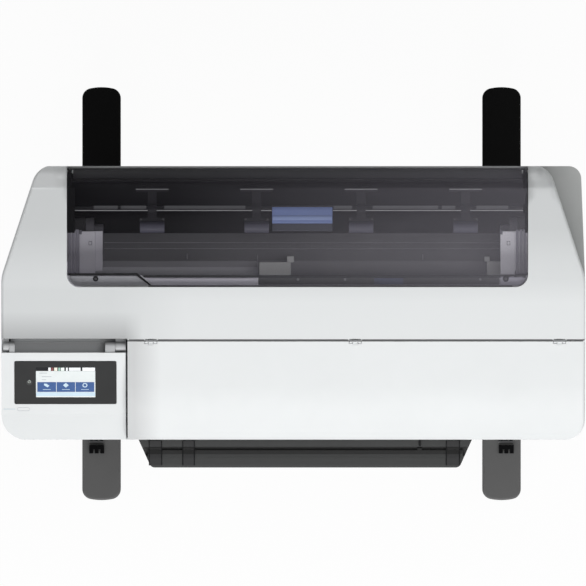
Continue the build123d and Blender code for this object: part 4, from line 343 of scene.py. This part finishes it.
LOOKS = {
    WHITE: ("front_cover",),
    HOUSING: ("top_housing", "panel_housing"),
    GREY: ("corner_pod",),
    DARK: ("base_pan",),
    GUIDE: ("output_guide",),
    STAND_GREY: ("stand_foot_left", "stand_foot_right", "stand_column_left", "stand_column_right",
                 "stand_crossbar"),
    STAND_BLACK: ("rear_foot_covers",),
    HOOK: ("cable_hooks",),
    FRAME: ("roll_cover_frame",),
    BLACK: ("carriage", "platen", "cap_sled", "power_inlet", "data_sockets", "ink_bay", "ink_cartridges",
            *(f"caster_fork_{corner}" for corner in CORNERS)),
    PEDAL: ("brake_pedal_front_left", "brake_pedal_front_right"),
    TREAD: tuple(f"caster_wheel_{corner}" for corner in CORNERS),
    SMOKED: ("roll_cover_window",),
    BAY: ("roll_bay",),
    LILAC: ("roll_supports",),
    HUB: ("roll_hub_left", "roll_hub_right"),
    BAR: ("pressure_bar",),
    ARM: ("pressure_arms",),
    BLUE: ("blue_grip",),
    RUBBER: ("pinch_rollers", "output_roller"),
    ROLLER: ("pressure_rollers",),
    STEEL: ("hinge_pins", "guide_shaft", "feed_roller", "motor_pinion", "stand_screws",
            "drive_pulley", "idler_pulley"),
    ZINC: ("side_frames", "carriage_rail", "drive_motors", "print_head", "power_supply"),
    BELT: ("drive_belt",),
    BOARD: ("main_board",),
    WASTE: ("waste_ink_box",),
    BEZEL: ("panel_bezel",),
    BUTTON: ("power_button",),
}


def paint(node, look):
    """Give one of the CAD pieces its look."""
    NODES[node].data.materials.clear()
    NODES[node].data.materials.append(look)


for look, names in LOOKS.items():
    for node in names:
        paint(node, look)


# Stage: floor, backdrop, camera and light

FLOOR_HALF = 9.0
FLOOR_GLOW = 0.95
WALL_RADIUS = 1.85  # the side views see up to about 2 m behind the origin
WALL_HEIGHT = 3.0
WALL_SIDES = 96
WORLD_GLOW = 0.26
SENSOR = 36.0
LENS = 1700.0
SUBJECT = BASE + 0.13  # the height at which one pixel of the photograph is PIXEL wide


def added(name, data):
    """New object in the scene."""
    made = bpy.data.objects.new(name, data)
    bpy.context.scene.collection.objects.link(made)
    return made


def rectangle(x_low, x_high, y_low, y_high):
    return [(x_low, y_low), (x_high, y_low), (x_high, y_high), (x_low, y_high)]


def ring(radius, count, centre=(0.0, 0.0)):
    """Points of a circle."""
    return [(centre[0] + radius * math.cos(2 * math.pi * i / count),
             centre[1] + radius * math.sin(2 * math.pi * i / count)) for i in range(count)]


def seen_directly(tree):
    """1 for camera, glossy and transmission rays, 0 for the rays that light the object."""
    path = tree.nodes.new("ShaderNodeLightPath")
    seen = path.outputs["Is Camera Ray"]
    for name in ("Is Glossy Ray", "Is Transmission Ray"):
        seen = calculated(tree, "MAXIMUM", seen, path.outputs[name]).outputs[0]
    return seen


def make_stage():
    """Pale floor that looks white and keeps a faint shadow."""
    mesh = bpy.data.meshes.new("floor")
    corners = rectangle(-FLOOR_HALF, FLOOR_HALF, -FLOOR_HALF, FLOOR_HALF)
    mesh.from_pydata([(x, y, 0.0) for x, y in corners], [], [(0, 1, 2, 3)])
    floor = added("floor", mesh)
    material, tree, shader = new_material("floor")
    tint = blended(tree, ranged(tree, noise(tree, 3.0), 0.0, 1.0), (0.90, 0.90, 0.90), (0.92, 0.92, 0.92))
    tree.links.new(tint, shader.inputs["Base Color"])
    shader.inputs["Roughness"].default_value = 0.8
    shader.inputs["Specular IOR Level"].default_value = 0.1
    glow = tree.nodes.new("ShaderNodeEmission")
    share = tree.nodes.new("ShaderNodeMath")
    share.operation = "MULTIPLY"
    share.inputs[1].default_value = FLOOR_GLOW
    tree.links.new(seen_directly(tree), share.inputs[0])
    mixed_surface(tree, share.outputs[0], shader.outputs["BSDF"], glow.outputs["Emission"])
    mesh.materials.append(material)
    make_backdrop()


def make_backdrop():
    """Round pale wall behind the object from every side, clear from outside and to the lamps' light."""
    points = [(x, y, level) for level in (0.0, WALL_HEIGHT) for x, y in ring(WALL_RADIUS, WALL_SIDES)]
    faces = []
    for i in range(WALL_SIDES):
        j = (i + 1) % WALL_SIDES
        faces.append((i, i + WALL_SIDES, j + WALL_SIDES, j))
    mesh = bpy.data.meshes.new("backdrop")
    mesh.from_pydata(points, [], faces)
    material, tree, shader = new_material("backdrop")
    glow = tree.nodes.new("ShaderNodeEmission")
    cloud = ranged(tree, noise(tree, 1.5), 0.0, 1.0)
    tint = blended(tree, cloud, (0.975, 0.975, 0.975), (0.985, 0.985, 0.985))
    tree.links.new(tint, glow.inputs["Color"])
    clear = tree.nodes.new("ShaderNodeBsdfTransparent")
    side = tree.nodes.new("ShaderNodeNewGeometry")
    inside = calculated(tree, "SUBTRACT", seen_directly(tree), side.outputs["Backfacing"])
    inside.use_clamp = True
    mixed_surface(tree, inside.outputs[0], clear.outputs["BSDF"], glow.outputs["Emission"])
    tree.nodes.remove(shader)
    mesh.materials.append(material)
    return added("backdrop", mesh)


def make_camera():
    """Long lens from straight above, which shows the photograph's frame."""
    data = bpy.data.cameras.new("camera")
    camera = added("camera", data)
    data.sensor_width = SENSOR
    data.lens = LENS
    distance = PHOTO_SIZE * PIXEL * LENS / SENSOR
    camera.location = (at_x(PHOTO_SIZE / 2), at_y(PHOTO_SIZE / 2), SUBJECT + distance)
    data.clip_start = 1.0
    data.clip_end = 120.0
    bpy.context.scene.camera = camera


def make_area(name, place, target, size, power):
    """Rectangular lamp turned to a target."""
    data = bpy.data.lights.new(name, "AREA")
    data.shape = "RECTANGLE"
    data.size, data.size_y = size
    data.energy = power
    light = added(name, data)
    light.location = place
    direction = Vector(target) - Vector(place)
    light.rotation_euler = direction.to_track_quat("-Z", "Y").to_euler()


def make_light():
    """Even pale surroundings, a large lamp from the front and a smaller one from the upper right."""
    world = bpy.data.worlds.new("studio")
    bpy.context.scene.world = world
    world.use_nodes = True
    background = world.node_tree.nodes["Background"]
    background.inputs["Color"].default_value = (1.0, 1.0, 1.0, 1.0)
    background.inputs["Strength"].default_value = WORLD_GLOW
    make_area("front_softbox", (0.1, -3.83, 4.0), (0.05, 0.0, 0.8), (4.4, 2.6), 196.0)
    make_area("top_softbox", (1.20, 0.0, 4.9), (0.2, 0.0, 0.8), (1.8, 2.6), 34.0)
    bpy.context.scene.view_settings.view_transform = "Standard"


# Small pieces seen in the photograph, each on its own body

def raised(level):
    """Level plane at a height."""
    return Matrix.Translation((0.0, 0.0, level))


def built(name, work, place):
    """Mesh of a finished bmesh, moved to its place."""
    bmesh.ops.recalc_face_normals(work, faces=work.faces)
    work.transform(place)
    mesh = bpy.data.meshes.new(name)
    work.to_mesh(mesh)
    work.free()
    return mesh


def finish_piece(name, mesh, look, body, bevel=0.0):
    """Object of a mesh, with its look and rounded edges, riding on its body."""
    piece = added(name, mesh)
    mesh.materials.append(look)
    if bevel:
        modifier = piece.modifiers.new("edges", "BEVEL")
        modifier.width = bevel
        modifier.segments = 2
        modifier.limit_method = "ANGLE"
    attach(piece, body)


def prism(name, outline, thickness, look, body, place=Matrix.Identity(4), bevel=0.0004):
    """Plate with a plan outline, standing up from its plane by a thickness."""
    work = bmesh.new()
    lower = [work.verts.new((x, y, 0.0)) for x, y in outline]
    face = work.faces.new(lower)
    top = bmesh.ops.extrude_face_region(work, geom=[face])["geom"]
    moved = [item for item in top if isinstance(item, bmesh.types.BMVert)]
    bmesh.ops.translate(work, verts=moved, vec=(0.0, 0.0, thickness))
    finish_piece(name, built(name, work, place), look, body, bevel)


def strip(name, profile, x_low, x_high, look, body, bevel=0.0004):
    """Length along X of a side profile given as (y, z) points."""
    turn = Matrix(((0, 0, 1, x_low), (1, 0, 0, 0), (0, 1, 0, 0), (0, 0, 0, 1)))
    prism(name, profile, x_high - x_low, look, body, turn, bevel)


def pixels(x_low, x_high, y_top, y_bottom):
    """Rectangle between two columns and two lines of the photograph."""
    return rectangle(at_x(x_low), at_x(x_high), at_y(y_bottom), at_y(y_top))


def rounded(x_low, x_high, y_low, y_high, radius):
    """Rectangle with round corners."""
    count = 5
    points = []
    for cx, cy, start in ((x_high - radius, y_high - radius, 0), (x_low + radius, y_high - radius, 1),
                          (x_low + radius, y_low + radius, 2), (x_high - radius, y_low + radius, 3)):
        for i in range(count + 1):
            angle = math.pi / 2 * (start + i / count)
            points.append((cx + radius * math.cos(angle), cy + radius * math.sin(angle)))
    return points


def turned(name, profile, look, body, place):
    """Turned piece: (radius, height) points swept round its axis."""
    count = 48
    work = bmesh.new()
    rings = []
    for radius, level in profile:
        if radius == 0:
            rings.append([work.verts.new((0.0, 0.0, level))])
            continue
        rings.append([work.verts.new((x, y, level)) for x, y in ring(radius, count)])
    for one, two in zip(rings, rings[1:]):
        for i in range(count):
            j = (i + 1) % count
            corners = [one[i % len(one)], one[j % len(one)], two[j % len(two)], two[i % len(two)]]
            unique = list(dict.fromkeys(corners))
            if len(unique) > 2:
                work.faces.new(unique)
    mesh = built(name, work, place)
    for polygon in mesh.polygons:
        polygon.use_smooth = True
    mesh.set_sharp_from_angle(angle=math.radians(35))
    finish_piece(name, mesh, look, body)


def drawn_in(outline, width):
    """Outline made smaller by a width on every side."""
    cx = sum(p[0] for p in outline) / len(outline)
    cy = sum(p[1] for p in outline) / len(outline)
    half_x = max(p[0] for p in outline) - cx
    half_y = max(p[1] for p in outline) - cy
    return [(cx + (x - cx) * (1 - width / half_x), cy + (y - cy) * (1 - width / half_y)) for x, y in outline]


def band(name, outline, width, thickness, look, body, place):
    """Thin closed line round an outline."""
    inner = drawn_in(outline, width)
    work = bmesh.new()
    count = len(outline)
    layers = []
    for level in (0.0, thickness):
        layers.append(([work.verts.new((x, y, level)) for x, y in outline],
                       [work.verts.new((x, y, level)) for x, y in inner]))
    (low_out, low_in), (top_out, top_in) = layers
    for i in range(count):
        j = (i + 1) % count
        work.faces.new((top_out[i], top_out[j], top_in[j], top_in[i]))
        work.faces.new((low_out[j], low_out[i], low_in[i], low_in[j]))
        work.faces.new((low_out[i], low_out[j], top_out[j], top_out[i]))
        work.faces.new((low_in[j], low_in[i], top_in[i], top_in[j]))
    finish_piece(name, built(name, work, place), look, body)


# Display on the sloping panel. Its plane has u along the printer and v up the slope.

SLOPE = math.atan2(PANEL_HIGH[1] - PANEL_LOW[1], PANEL_HIGH[0] - PANEL_LOW[0])
PANEL_BELOW_TOP = 0.0498  # from the slope's top to the middle of the display, along Y
PANEL_AT = Vector((-0.3788, -0.1478, BASE + PANEL_HIGH[1] - PANEL_BELOW_TOP * math.tan(SLOPE)))


def panel_place(lift):
    """Plane of the panel, lifted off it."""
    return Matrix.Translation(PANEL_AT) @ Matrix.Rotation(SLOPE, 4, "X") @ raised(lift)


def panel_uv(px, py):
    """Point of the panel's plane under a pixel of the photograph."""
    return at_x(px) - PANEL_AT.x, (at_y(py) - PANEL_AT.y) / math.cos(SLOPE)


def panel_box(x_low, x_high, y_top, y_bottom):
    """Rectangle on the panel's plane between two columns and two lines of the photograph."""
    left, top = panel_uv(x_low, y_top)
    right, bottom = panel_uv(x_high, y_bottom)
    return rectangle(left, right, bottom, top)


def make_display():
    """Plain tiles, lines and icons on the display, and the mark on the power button."""
    paint("display_glass", screen("screen_white", (0.68, 0.72, 0.72), 0.15))
    dark = screen("screen_black", (0.012, 0.013, 0.015), 0.02)
    blue = screen("screen_blue", (0.034, 0.092, 0.262), 0.2)
    pale = screen("screen_pale", (0.52, 0.66, 0.76), 0.15)
    ink = screen("screen_grey", (0.42, 0.45, 0.48), 0.1)
    thin = 0.00012
    place = panel_place(0.0004)
    above = panel_place(0.0004 + thin)

    def shown(name, outline, look, plane):
        prism(name, outline, thin, look, "control_panel", plane, 0.0)

    shown("screen_bar", panel_box(36.2, 95.6, 367.2, 370.8), dark, place)
    blocks = ((48.6, 50.9, (0.85, 0.86, 0.88)), (51.6, 53.6, (0.20, 0.05, 0.05)),
              (54.4, 57.6, (0.75, 0.72, 0.62)), (58.6, 60.4, (0.30, 0.50, 0.42)),
              (61.0, 64.6, (0.72, 0.80, 0.76)), (66.2, 68.0, (0.80, 0.82, 0.84)),
              (69.2, 80.8, (0.72, 0.74, 0.76)), (82.6, 95.2, (0.80, 0.82, 0.84)))
    for index, (left, right, colour) in enumerate(blocks):
        look = screen(f"screen_block_{index}", colour)
        shown(f"screen_block_{index}", panel_box(left, right, 367.4, 370.6), look, above)
    lines = ((39.5, 47.5, 372.9), (42.0, 51.6, 376.5), (42.0, 46.5, 379.6))
    for index, (left, right, line) in enumerate(lines):
        shown(f"screen_line_{index}", panel_box(left, right, line - 0.25, line + 0.25), ink, place)
    for index, (left, right) in enumerate(((37.5, 56.3), (56.8, 75.3), (75.8, 94.4))):
        shown(f"screen_tile_{index}", panel_box(left, right, 381.9, 391.7), blue, place)
        u, v = panel_uv((left + right) / 2, 385.0)
        if index == 0:
            outline = [(u - 0.0045, v + 0.0030), (u - 0.0005, v + 0.0030), (u + 0.0045, v - 0.0010),
                       (u + 0.0012, v - 0.0040), (u - 0.0045, v)]
            shown("screen_icon_0", outline, pale, above)
        if index == 1:
            outline = [(u, v + 0.0045), (u + 0.0048, v), (u, v - 0.0045), (u - 0.0048, v)]
            shown("screen_icon_1", outline, pale, above)
        if index == 2:
            band("screen_icon_2", ring(0.0042, 12, (u, v)), 0.0016, thin, pale, "control_panel", above)
        u, v = panel_uv((left + right) / 2, 389.3)
        shown(f"screen_word_{index}", rectangle(u - 0.0065, u + 0.0065, v - 0.0004, v + 0.0004), pale, above)
    shown("screen_foot", panel_box(36.4, 95.3, 392.2, 395.8), pale, place)
    u, v = panel_uv(29.6, 381.5)
    mark = screen("button_mark", (0.42, 0.46, 0.43), 0.15)
    band("button_ring", ring(0.0026, 20, (u, v)), 0.0007, thin, mark, "power_button", place)
    bar = rectangle(u - 0.0003, u + 0.0003, v, v + 0.0032)
    prism("button_bar", bar, thin, mark, "power_button", place, 0.0)


def make_panel_marks():
    """Printed line and capsule on the white panel, below the display."""
    print_blue = moulded("print_blue", (0.50, 0.62, 0.68), 0.4, 0.05, 1500.0, 0.05)
    print_grey = moulded("print_grey", (0.55, 0.57, 0.60), 0.4, 0.05, 1500.0, 0.05)
    place = panel_place(0.0)
    thin = 0.00015
    line = panel_box(3.6, 15.4, 408.7, 409.3)
    prism("panel_line", line, thin, print_blue, "control_panel", place, 0.0)
    left, top = panel_uv(17.2, 407.4)
    right, bottom = panel_uv(30.0, 410.9)
    outline = rounded(left, right, bottom, top, (top - bottom) / 2 - 0.0001)
    band("panel_capsule", outline, 0.0007, thin, print_grey, "control_panel", place)


# Roll bay seen through the smoked cover

SILL_TILT = math.atan2(PEAK_HEIGHT - SEAM_HEIGHT, PEAK_Y - SEAM_Y)


def sill_z(y):
    """Height of the bay's front sill."""
    rise = (y - SEAM_Y) * (PEAK_HEIGHT - SEAM_HEIGHT) / (PEAK_Y - SEAM_Y)
    return BASE + SEAM_HEIGHT + rise - SILL_DEPTH


def sill_place(lift):
    """Plane of the sill, with X along the printer and Y up the sill's slope from Y 0."""
    return raised(sill_z(0.0)) @ Matrix.Rotation(SILL_TILT, 4, "X") @ raised(lift)


def sill_spot(px, py, lift):
    """Place on the sill's slope under a pixel, lifted off it."""
    spot = Vector((at_x(px), at_y(py), sill_z(at_y(py)) + lift))
    return Matrix.Translation(spot) @ Matrix.Rotation(SILL_TILT, 4, "X")


def make_sill():
    """Light and dark strips, screws and pins along the bay's front edge."""
    dark = moulded("sill_dark", (0.078, 0.078, 0.084), 0.4, 0.1, 1300.0, 0.06, specular=0.25)
    bluish = moulded("sill_bluish", (0.09, 0.10, 0.155), 0.4, 0.1, 1300.0, 0.06, specular=0.25)
    lilac = moulded("sill_lilac", (0.40, 0.385, 0.46), 0.4, 0.1, 1300.0, 0.05)
    bright = moulded("sill_bright", (0.64, 0.62, 0.71), 0.4, 0.1, 1300.0, 0.05)
    black = moulded("screw_recess", (0.012, 0.012, 0.014), 0.5, 0.1, 1300.0, 0.06, specular=0.2)
    lip = moulded("sill_lip", (0.040, 0.040, 0.045), 0.5, 0.1, 1300.0, 0.06, specular=0.15)
    rim = moulded("sill_rim", (0.16, 0.16, 0.17), 0.5, 0.1, 1300.0, 0.06, specular=0.2)
    pin = moulded("sill_pin", (0.22, 0.22, 0.24), 0.4, 0.1, 1300.0, 0.06, specular=0.3)
    place = sill_place(0.0004)

    def laid_on(name, corners, thickness, look):
        outline = [(at_x(px), at_y(py) / math.cos(SILL_TILT)) for px, py in corners]
        prism(name, outline, thickness, look, "stand", place)

    laid_on("sill_left", ((70.2, 275.8), (137.0, 275.8), (148.3, 285.3), (76.0, 285.3), (71.5, 281.5)),
            0.0016, LIGHT_GREY)
    laid_on("sill_strip", ((146.5, 278.2), (257.5, 278.2), (257.5, 284.8), (152.5, 284.8)), 0.0010, bright)
    laid_on("sill_dark_strip", ((258.5, 277.4), (499.0, 277.4), (499.0, 284.6), (258.5, 284.6)), 0.0008, dark)
    laid_on("sill_bluish_strip", ((374.0, 278.0), (403.0, 278.0), (403.0, 284.2), (374.0, 284.2)),
            0.0014, bluish)
    laid_on("sill_right", ((500.0, 276.0), (524.0, 276.0), (524.0, 281.0), (521.0, 284.6), (500.0, 284.6)),
            0.0012, lilac)
    for name, px, radius in (("left", 96.0, 0.0045), ("right", 505.4, 0.0050)):
        spot = sill_spot(px, 278.8, 0.0027)
        recess = ((radius, -0.0004), (radius, 0.0003), (radius * 0.8, 0.0004), (radius * 0.75, -0.0001),
                  (0, -0.0001))
        head = ((radius * 0.5, -0.0001), (radius * 0.5, 0.0003), (radius * 0.2, 0.0006), (0, 0.0006))
        turned(f"sill_recess_{name}", recess, black, "stand", spot)
        turned(f"sill_screw_{name}", head, dark, "stand", spot)
    for index, px in enumerate((298.0, 345.0, 480.0)):
        head = ((0.0022, -0.0004), (0.0022, 0.0006), (0.0016, 0.0010), (0, 0.0010))
        turned(f"sill_pin_{index}", head, pin, "stand", sill_spot(px, 279.3, 0.0014))
    laid_on("sill_edge", ((148.5, 285.3), (512.0, 285.3), (512.0, 286.8), (148.5, 286.8)), 0.0018, rim)
    laid_on("sill_edge_left", ((80.0, 285.3), (148.0, 285.3), (148.0, 286.8), (84.0, 286.8)), 0.0018, WHITE)
    laid_on("sill_groove", ((68.6, 273.2), (137.6, 273.2), (151.6, 284.9), (149.0, 284.9), (136.6, 275.4),
                            (68.6, 275.4)), 0.0014, black)
    laid_on("sill_lip", ((142.0, 275.2), (525.5, 275.2), (525.5, 277.6), (144.6, 277.6)), 0.0012, lip)


def make_bay():
    """Floor plates, ribs and lines of the roll bay, its rear duct and the two guides beside the roll."""
    floor_z = BASE + 0.0545
    z = BASE + 0.150
    duct = moulded("rear_duct", (0.10, 0.10, 0.108), 0.5, 0.2, 900.0, 0.07, specular=0.25)
    guide = moulded("bay_guide", (0.50, 0.49, 0.54), 0.45, 0.2, 1100.0, 0.05, specular=0.3)
    block = moulded("bay_block", (0.92, 0.92, 0.93), 0.42, 0.2, 1100.0, 0.04, specular=0.3)
    profile = [(0.1904, z), (0.2075, z), (0.2075, z + 0.0085), (0.2050, z + 0.0105), (0.1920, z + 0.0105),
               (0.1904, z + 0.0090)]
    strip("rear_duct", profile, -0.3660, 0.3800, duct, "stand", 0.0008)
    profile = rectangle(0.0480, 0.0545, floor_z + 0.0002, floor_z + 0.0016)
    strip("bay_floor_band", profile, at_x(103), at_x(257), guide, "stand")
    prism("bay_floor_plate", pixels(103, 257, 261, 267), 0.0018, guide, "stand", raised(floor_z + 0.0003))
    on_floor = raised(floor_z + 0.0002)
    for name, body_span, tab_span in (("left", (259, 291, 262), (287, 294, 256, 262.4)),
                                      ("right", (487, 505.5, 261), (484.6, 490.0, 256.4, 261.6))):
        low, high, rear = body_span
        outline = rounded(at_x(low), at_x(high), at_y(275.5), at_y(rear), 0.003)
        prism(f"roll_guide_{name}", outline, 0.0450, block, "stand", on_floor, 0.0012)
        prism(f"roll_guide_{name}_tab", pixels(*tab_span), 0.0400, block, "stand", on_floor, 0.0010)
    for index, (px, py) in enumerate(((187.0, 256.5), (257.5, 258.0), (423.0, 257.0))):
        rib = pixels(px - 0.5, px + 0.5, py - 3, py + 3)
        prism(f"bay_rib_{index}", rib, 0.0040, guide, "stand", on_floor)
    for index, py in enumerate((242.5, 248.5)):
        line = pixels(104, 499, py - 0.4, py + 0.4)
        prism(f"bay_line_{index}", line, 0.0010, guide, "stand", raised(floor_z + 0.0003), 0.0003)


def make_supports():
    """Stepped light plates on the roll supports, with a moulded mark on each."""
    top = BASE + 0.168
    place = raised(top + 0.0001)
    shade = moulded("support_shade", (0.33, 0.315, 0.38), 0.45, 0.15, 1300.0, 0.05)
    line = moulded("support_line", (0.16, 0.155, 0.19), 0.45, 0.15, 1300.0, 0.05)
    sides = (("left", (79.8, 95.3, 90.5), ((68.2, 71.4), (72.0, 75.0), (75.6, 79.2))),
             ("right", (500.2, 514.8, 508.3), ((515.6, 518.6), (519.2, 522.4), (523.0, 526.2))))
    for name, (low, high, mark), spans in sides:
        outline = [(at_x(low), at_y(274.6)), (at_x(high), at_y(274.6)), (at_x(high), at_y(233.6)),
                   (at_x(high - 1.4), at_y(231.4)), (at_x(low + 2.6), at_y(231.4)), (at_x(low), at_y(234.5))]
        prism(f"support_plate_{name}", outline, 0.0014, LILAC, "stand", place)
        for index, (start, end) in enumerate(spans):
            rail = pixels(start, end, 229.5, 274.0)
            prism(f"support_rail_{name}_{index}", rail, 0.0010, shade, "stand", place)
        box = pixels(mark - 1.7, mark + 1.7, 241.2, 245.2)
        band(f"support_mark_{name}", box, 0.0008, 0.0003, line, "stand", raised(top + 0.0015))
        notch = pixels(low - 0.4, low + 2.2, 230.0, 234.5)
        prism(f"support_notch_{name}", notch, 0.0020, line, "stand", place)


def arc(centre, radius, start, end):
    """Points of an arc, from one angle to another in degrees."""
    count = 10
    angles = [math.radians(start + (end - start) * i / count) for i in range(count + 1)]
    return [(centre[0] + radius * math.cos(angle), centre[1] + radius * math.sin(angle)) for angle in angles]


def make_pressure_frame():
    """Painted highlights along the edges of the bar and its arms, painted sheen strips on the bar's top, and
    the shrouds over the rollers.
    """
    z = FRAME_LEVEL
    plate = moulded("bar_sheen", (0.115, 0.115, 0.125), 0.4, 0.2, 600.0, 0.08, specular=0.3)
    bright = moulded("bar_highlight", (0.50, 0.50, 0.52), 0.3, 0.1, 900.0, 0.05)
    soft = moulded("arm_highlight", (0.40, 0.40, 0.42), 0.35, 0.1, 900.0, 0.05)
    shroud = moulded("roller_shroud", (0.085, 0.082, 0.115), 0.45, 0.2, 1300.0, 0.06, specular=0.3)
    pin = moulded("arm_pin", (0.06, 0.06, 0.065), 0.4, 0.1, 1300.0, 0.06, specular=0.3)
    # Painted highlight: light grey strips along the bar's front edge stand in for its shine.
    profile = rectangle(at_y(210.95), at_y(210.2), z + 0.0030, z + 0.0070)
    for index, (start, end) in enumerate(((70.5, 271.5), (333.0, 525.0))):
        strip(f"bar_highlight_{index}", profile, at_x(start), at_x(end), bright, "pressure_frame", 0.0002)
    spans = ((94.0, 118.0), (121.0, 146.5), (164.5, 245.5), (333.5, 352.0), (372.5, 438.0), (441.5, 455.0),
             (476.0, 508.0))
    # Painted sheen: lighter strips on the bar's top between the arms stand in for its glow.
    profile = rectangle(at_y(209.4), at_y(205.8), z + 0.0030, z + 0.0042)
    for index, (start, end) in enumerate(spans):
        strip(f"bar_sheen_{index}", profile, at_x(start), at_x(end), plate, "pressure_frame", 0.0003)
    roller_axis = (0.111, BASE + 0.186)
    cap = arc(roller_axis, 0.0104, 20, 162) + arc(roller_axis, 0.0092, 162, 20)
    # Painted highlight: a pale strip along each arm's top edge stands in for its shine.
    arm_highlight_profile = rectangle(0.1730, 0.1741, z + 0.0024, z + 0.0032)
    head = ((0.0020, 0), (0.0020, 0.0010), (0.0014, 0.0016), (0, 0.0016))
    for index in range(4):
        x = ARMS_MIDDLE + ARM_STEP * (index - 1.5)
        strip(f"arm_highlight_{index}", arm_highlight_profile, x - 0.0272, x + 0.0272, soft, "pressure_frame", 0.0002)
        strip(f"roller_shroud_{index}", cap, x - 0.0204, x + 0.0204, shroud, "pressure_frame", 0.0003)
        for end, side in enumerate((-1, 1)):
            spot = Matrix.Translation((x + side * 0.0185, 0.1235, z + 0.0020))
            turned(f"arm_pin_{index}_{end}", head, pin, "pressure_frame", spot)


def make_grip():
    """Ridge of the blue grip, painted a lighter blue as a painted highlight, and the grip's lower band."""
    z = FRAME_LEVEL
    # Painted highlight: the ridge is a real rounded strip, painted a lighter blue than the grip for the shine
    # along its curve.
    light = moulded("grip_ridge_highlight", (0.26, 0.34, 0.62), 0.35, 0.1, 1500.0, 0.04, specular=0.4)
    slate = moulded("grip_band", (0.055, 0.056, 0.075), 0.5, 0.2, 1300.0, 0.06, specular=0.25)
    ridge = [(at_y(220.4), z + 0.0062), (at_y(220.2), z + 0.0070), (at_y(218.6), z + 0.0078),
             (at_y(217.0), z + 0.0078), (at_y(215.8), z + 0.0070), (at_y(215.6), z + 0.0062)]
    strip("grip_ridge_highlight", ridge, at_x(272.6), at_x(332.0), light, "pressure_frame", 0.0003)
    low = z - 0.0040
    profile = [(at_y(231.2), low), (at_y(223.4), low), (at_y(223.4), low + 0.0030),
               (at_y(230.4), low + 0.0030), (at_y(231.2), low + 0.0024)]
    strip("grip_band", profile, at_x(272.4), at_x(332.2), slate, "pressure_frame")


def laid(name, px_low, px_high, levels, thickness, look):
    """Thin strip laid on the output guide, whose surface is given as photo lines and heights in mm."""
    points = [(at_y(py), BASE + height / 1000) for py, height in levels]
    profile = [(y, z - 0.0002) for y, z in points] + [(y, z + thickness) for y, z in reversed(points)]
    strip(name, profile, at_x(px_low), at_x(px_high), look, "stand", 0.0002)


def make_guide_ribs():
    """Ribs across the output guide's groove with their edges, the groove's front lip and the pin in it."""
    edge = moulded("rib_edge", (0.014, 0.014, 0.015), 0.5, 0.2, 1200.0, 0.06, specular=0.05)
    # Painted shade: rib tops are painted darker inside the groove.
    top = moulded("rib_top", (0.040, 0.040, 0.041), 0.5, 0.2, 1200.0, 0.06, specular=0.08,
                  zones=(((0.020, 0.020, 0.020), GUIDE_GROOVE),))
    rib = ((441.0, 49.4), (446.5, 46.75), (447.3, 45.0), (448.4, 41.0), (449.6, 39.6), (458.2, 39.5),
           (465.8, 36.85))
    for index, (low, high) in enumerate(((149.0, 161.4), (182.6, 194.2), (446.6, 459.8))):
        laid(f"rib_{index}", low, high, rib, 0.0012, top)
        for side, px in enumerate((low, high)):
            laid(f"rib_edge_{index}_{side}", px - 0.45, px + 0.45, rib, 0.0022, edge)
    lip = ((450.4, 38.7), (455.0, 39.3), (458.2, 39.4))
    spans = ((147.6, 148.5), (161.9, 182.1), (194.7, 446.1), (460.3, 463.4))
    for index, (low, high) in enumerate(spans):
        laid(f"guide_lip_{index}", low, high, lip, 0.0010, GUIDE)
    laid("guide_pin", 419.0, 421.0, rib[:2], 0.0030, edge)
    head = ((448.2, 40.3), (448.8, 37.2), (450.0, 35.7), (453.4, 33.6))
    laid("guide_pin_head", 417.6, 422.0, head, 0.0050, top)


def make_hooks():
    """Plates from which the black hooks stand out, on each foot."""
    place = raised(BASE - 0.5829)
    plate = moulded("hook_plate", (0.20, 0.20, 0.205), 0.45, 0.2, 1300.0, 0.06, specular=0.2)
    for name, low, high in (("left", 85.6, 100.6), ("right", 501.4, 516.4)):
        prism(f"hook_plate_{name}", pixels(low, high, 443.4, 445.2), 0.0016, plate, "stand", place)
        for index in range(3):
            start = low + 1.0 + 5.0 * index
            tip = pixels(start, start + 3.4, 440.4, 442.8)
            prism(f"hook_tip_{name}_{index}", tip, 0.0060, HOOK, "stand", place)


def make_seam():
    """Painted shadow at the front cover's seam, as a dark strip, and a grey plate in the slot behind the
    panel, painted to the grey of the shaded groove.
    """
    # Painted shadow: a dark strip laid in the seam's gap, broken at the knuckles.
    dark = moulded("seam_shadow_strip", (0.19, 0.19, 0.195), 0.6, 0.2, 1200.0, 0.1, specular=0.1)
    profile = [(-0.0781, BASE + 0.2068), (-0.0757, BASE + 0.2068), (-0.0757, BASE + 0.20765),
               (-0.0781, BASE + 0.20735)]
    starts = [-0.2735] + [x + KNUCKLE_HALF for x in HINGE_PLACES]
    ends = [x - KNUCKLE_HALF for x in HINGE_PLACES] + [0.4840]
    for index, (start, end) in enumerate(zip(starts, ends)):
        strip(f"seam_shadow_strip_{index}", profile, start, end, dark, "stand", 0.0001)
    # Painted shade: a grey plate in the slot, painted to the grey of the shaded groove.
    slot_shade = moulded("slot_shade_plate", (0.44, 0.45, 0.46), 0.55, 0.2, 1200.0, 0.06, specular=0.2)
    z = BASE + 0.1705
    profile = [(-0.0797, z), (-0.0753, z), (-0.0753, z + 0.0018), (-0.0797, z + 0.0012)]
    strip("slot_shade_plate", profile, -0.4700, -0.2800, slot_shade, "stand", 0.0002)


make_display()
make_panel_marks()
make_sill()
make_bay()
make_supports()
make_pressure_frame()
make_grip()
make_guide_ribs()
make_hooks()
make_seam()

make_stage()
make_camera()
make_light()
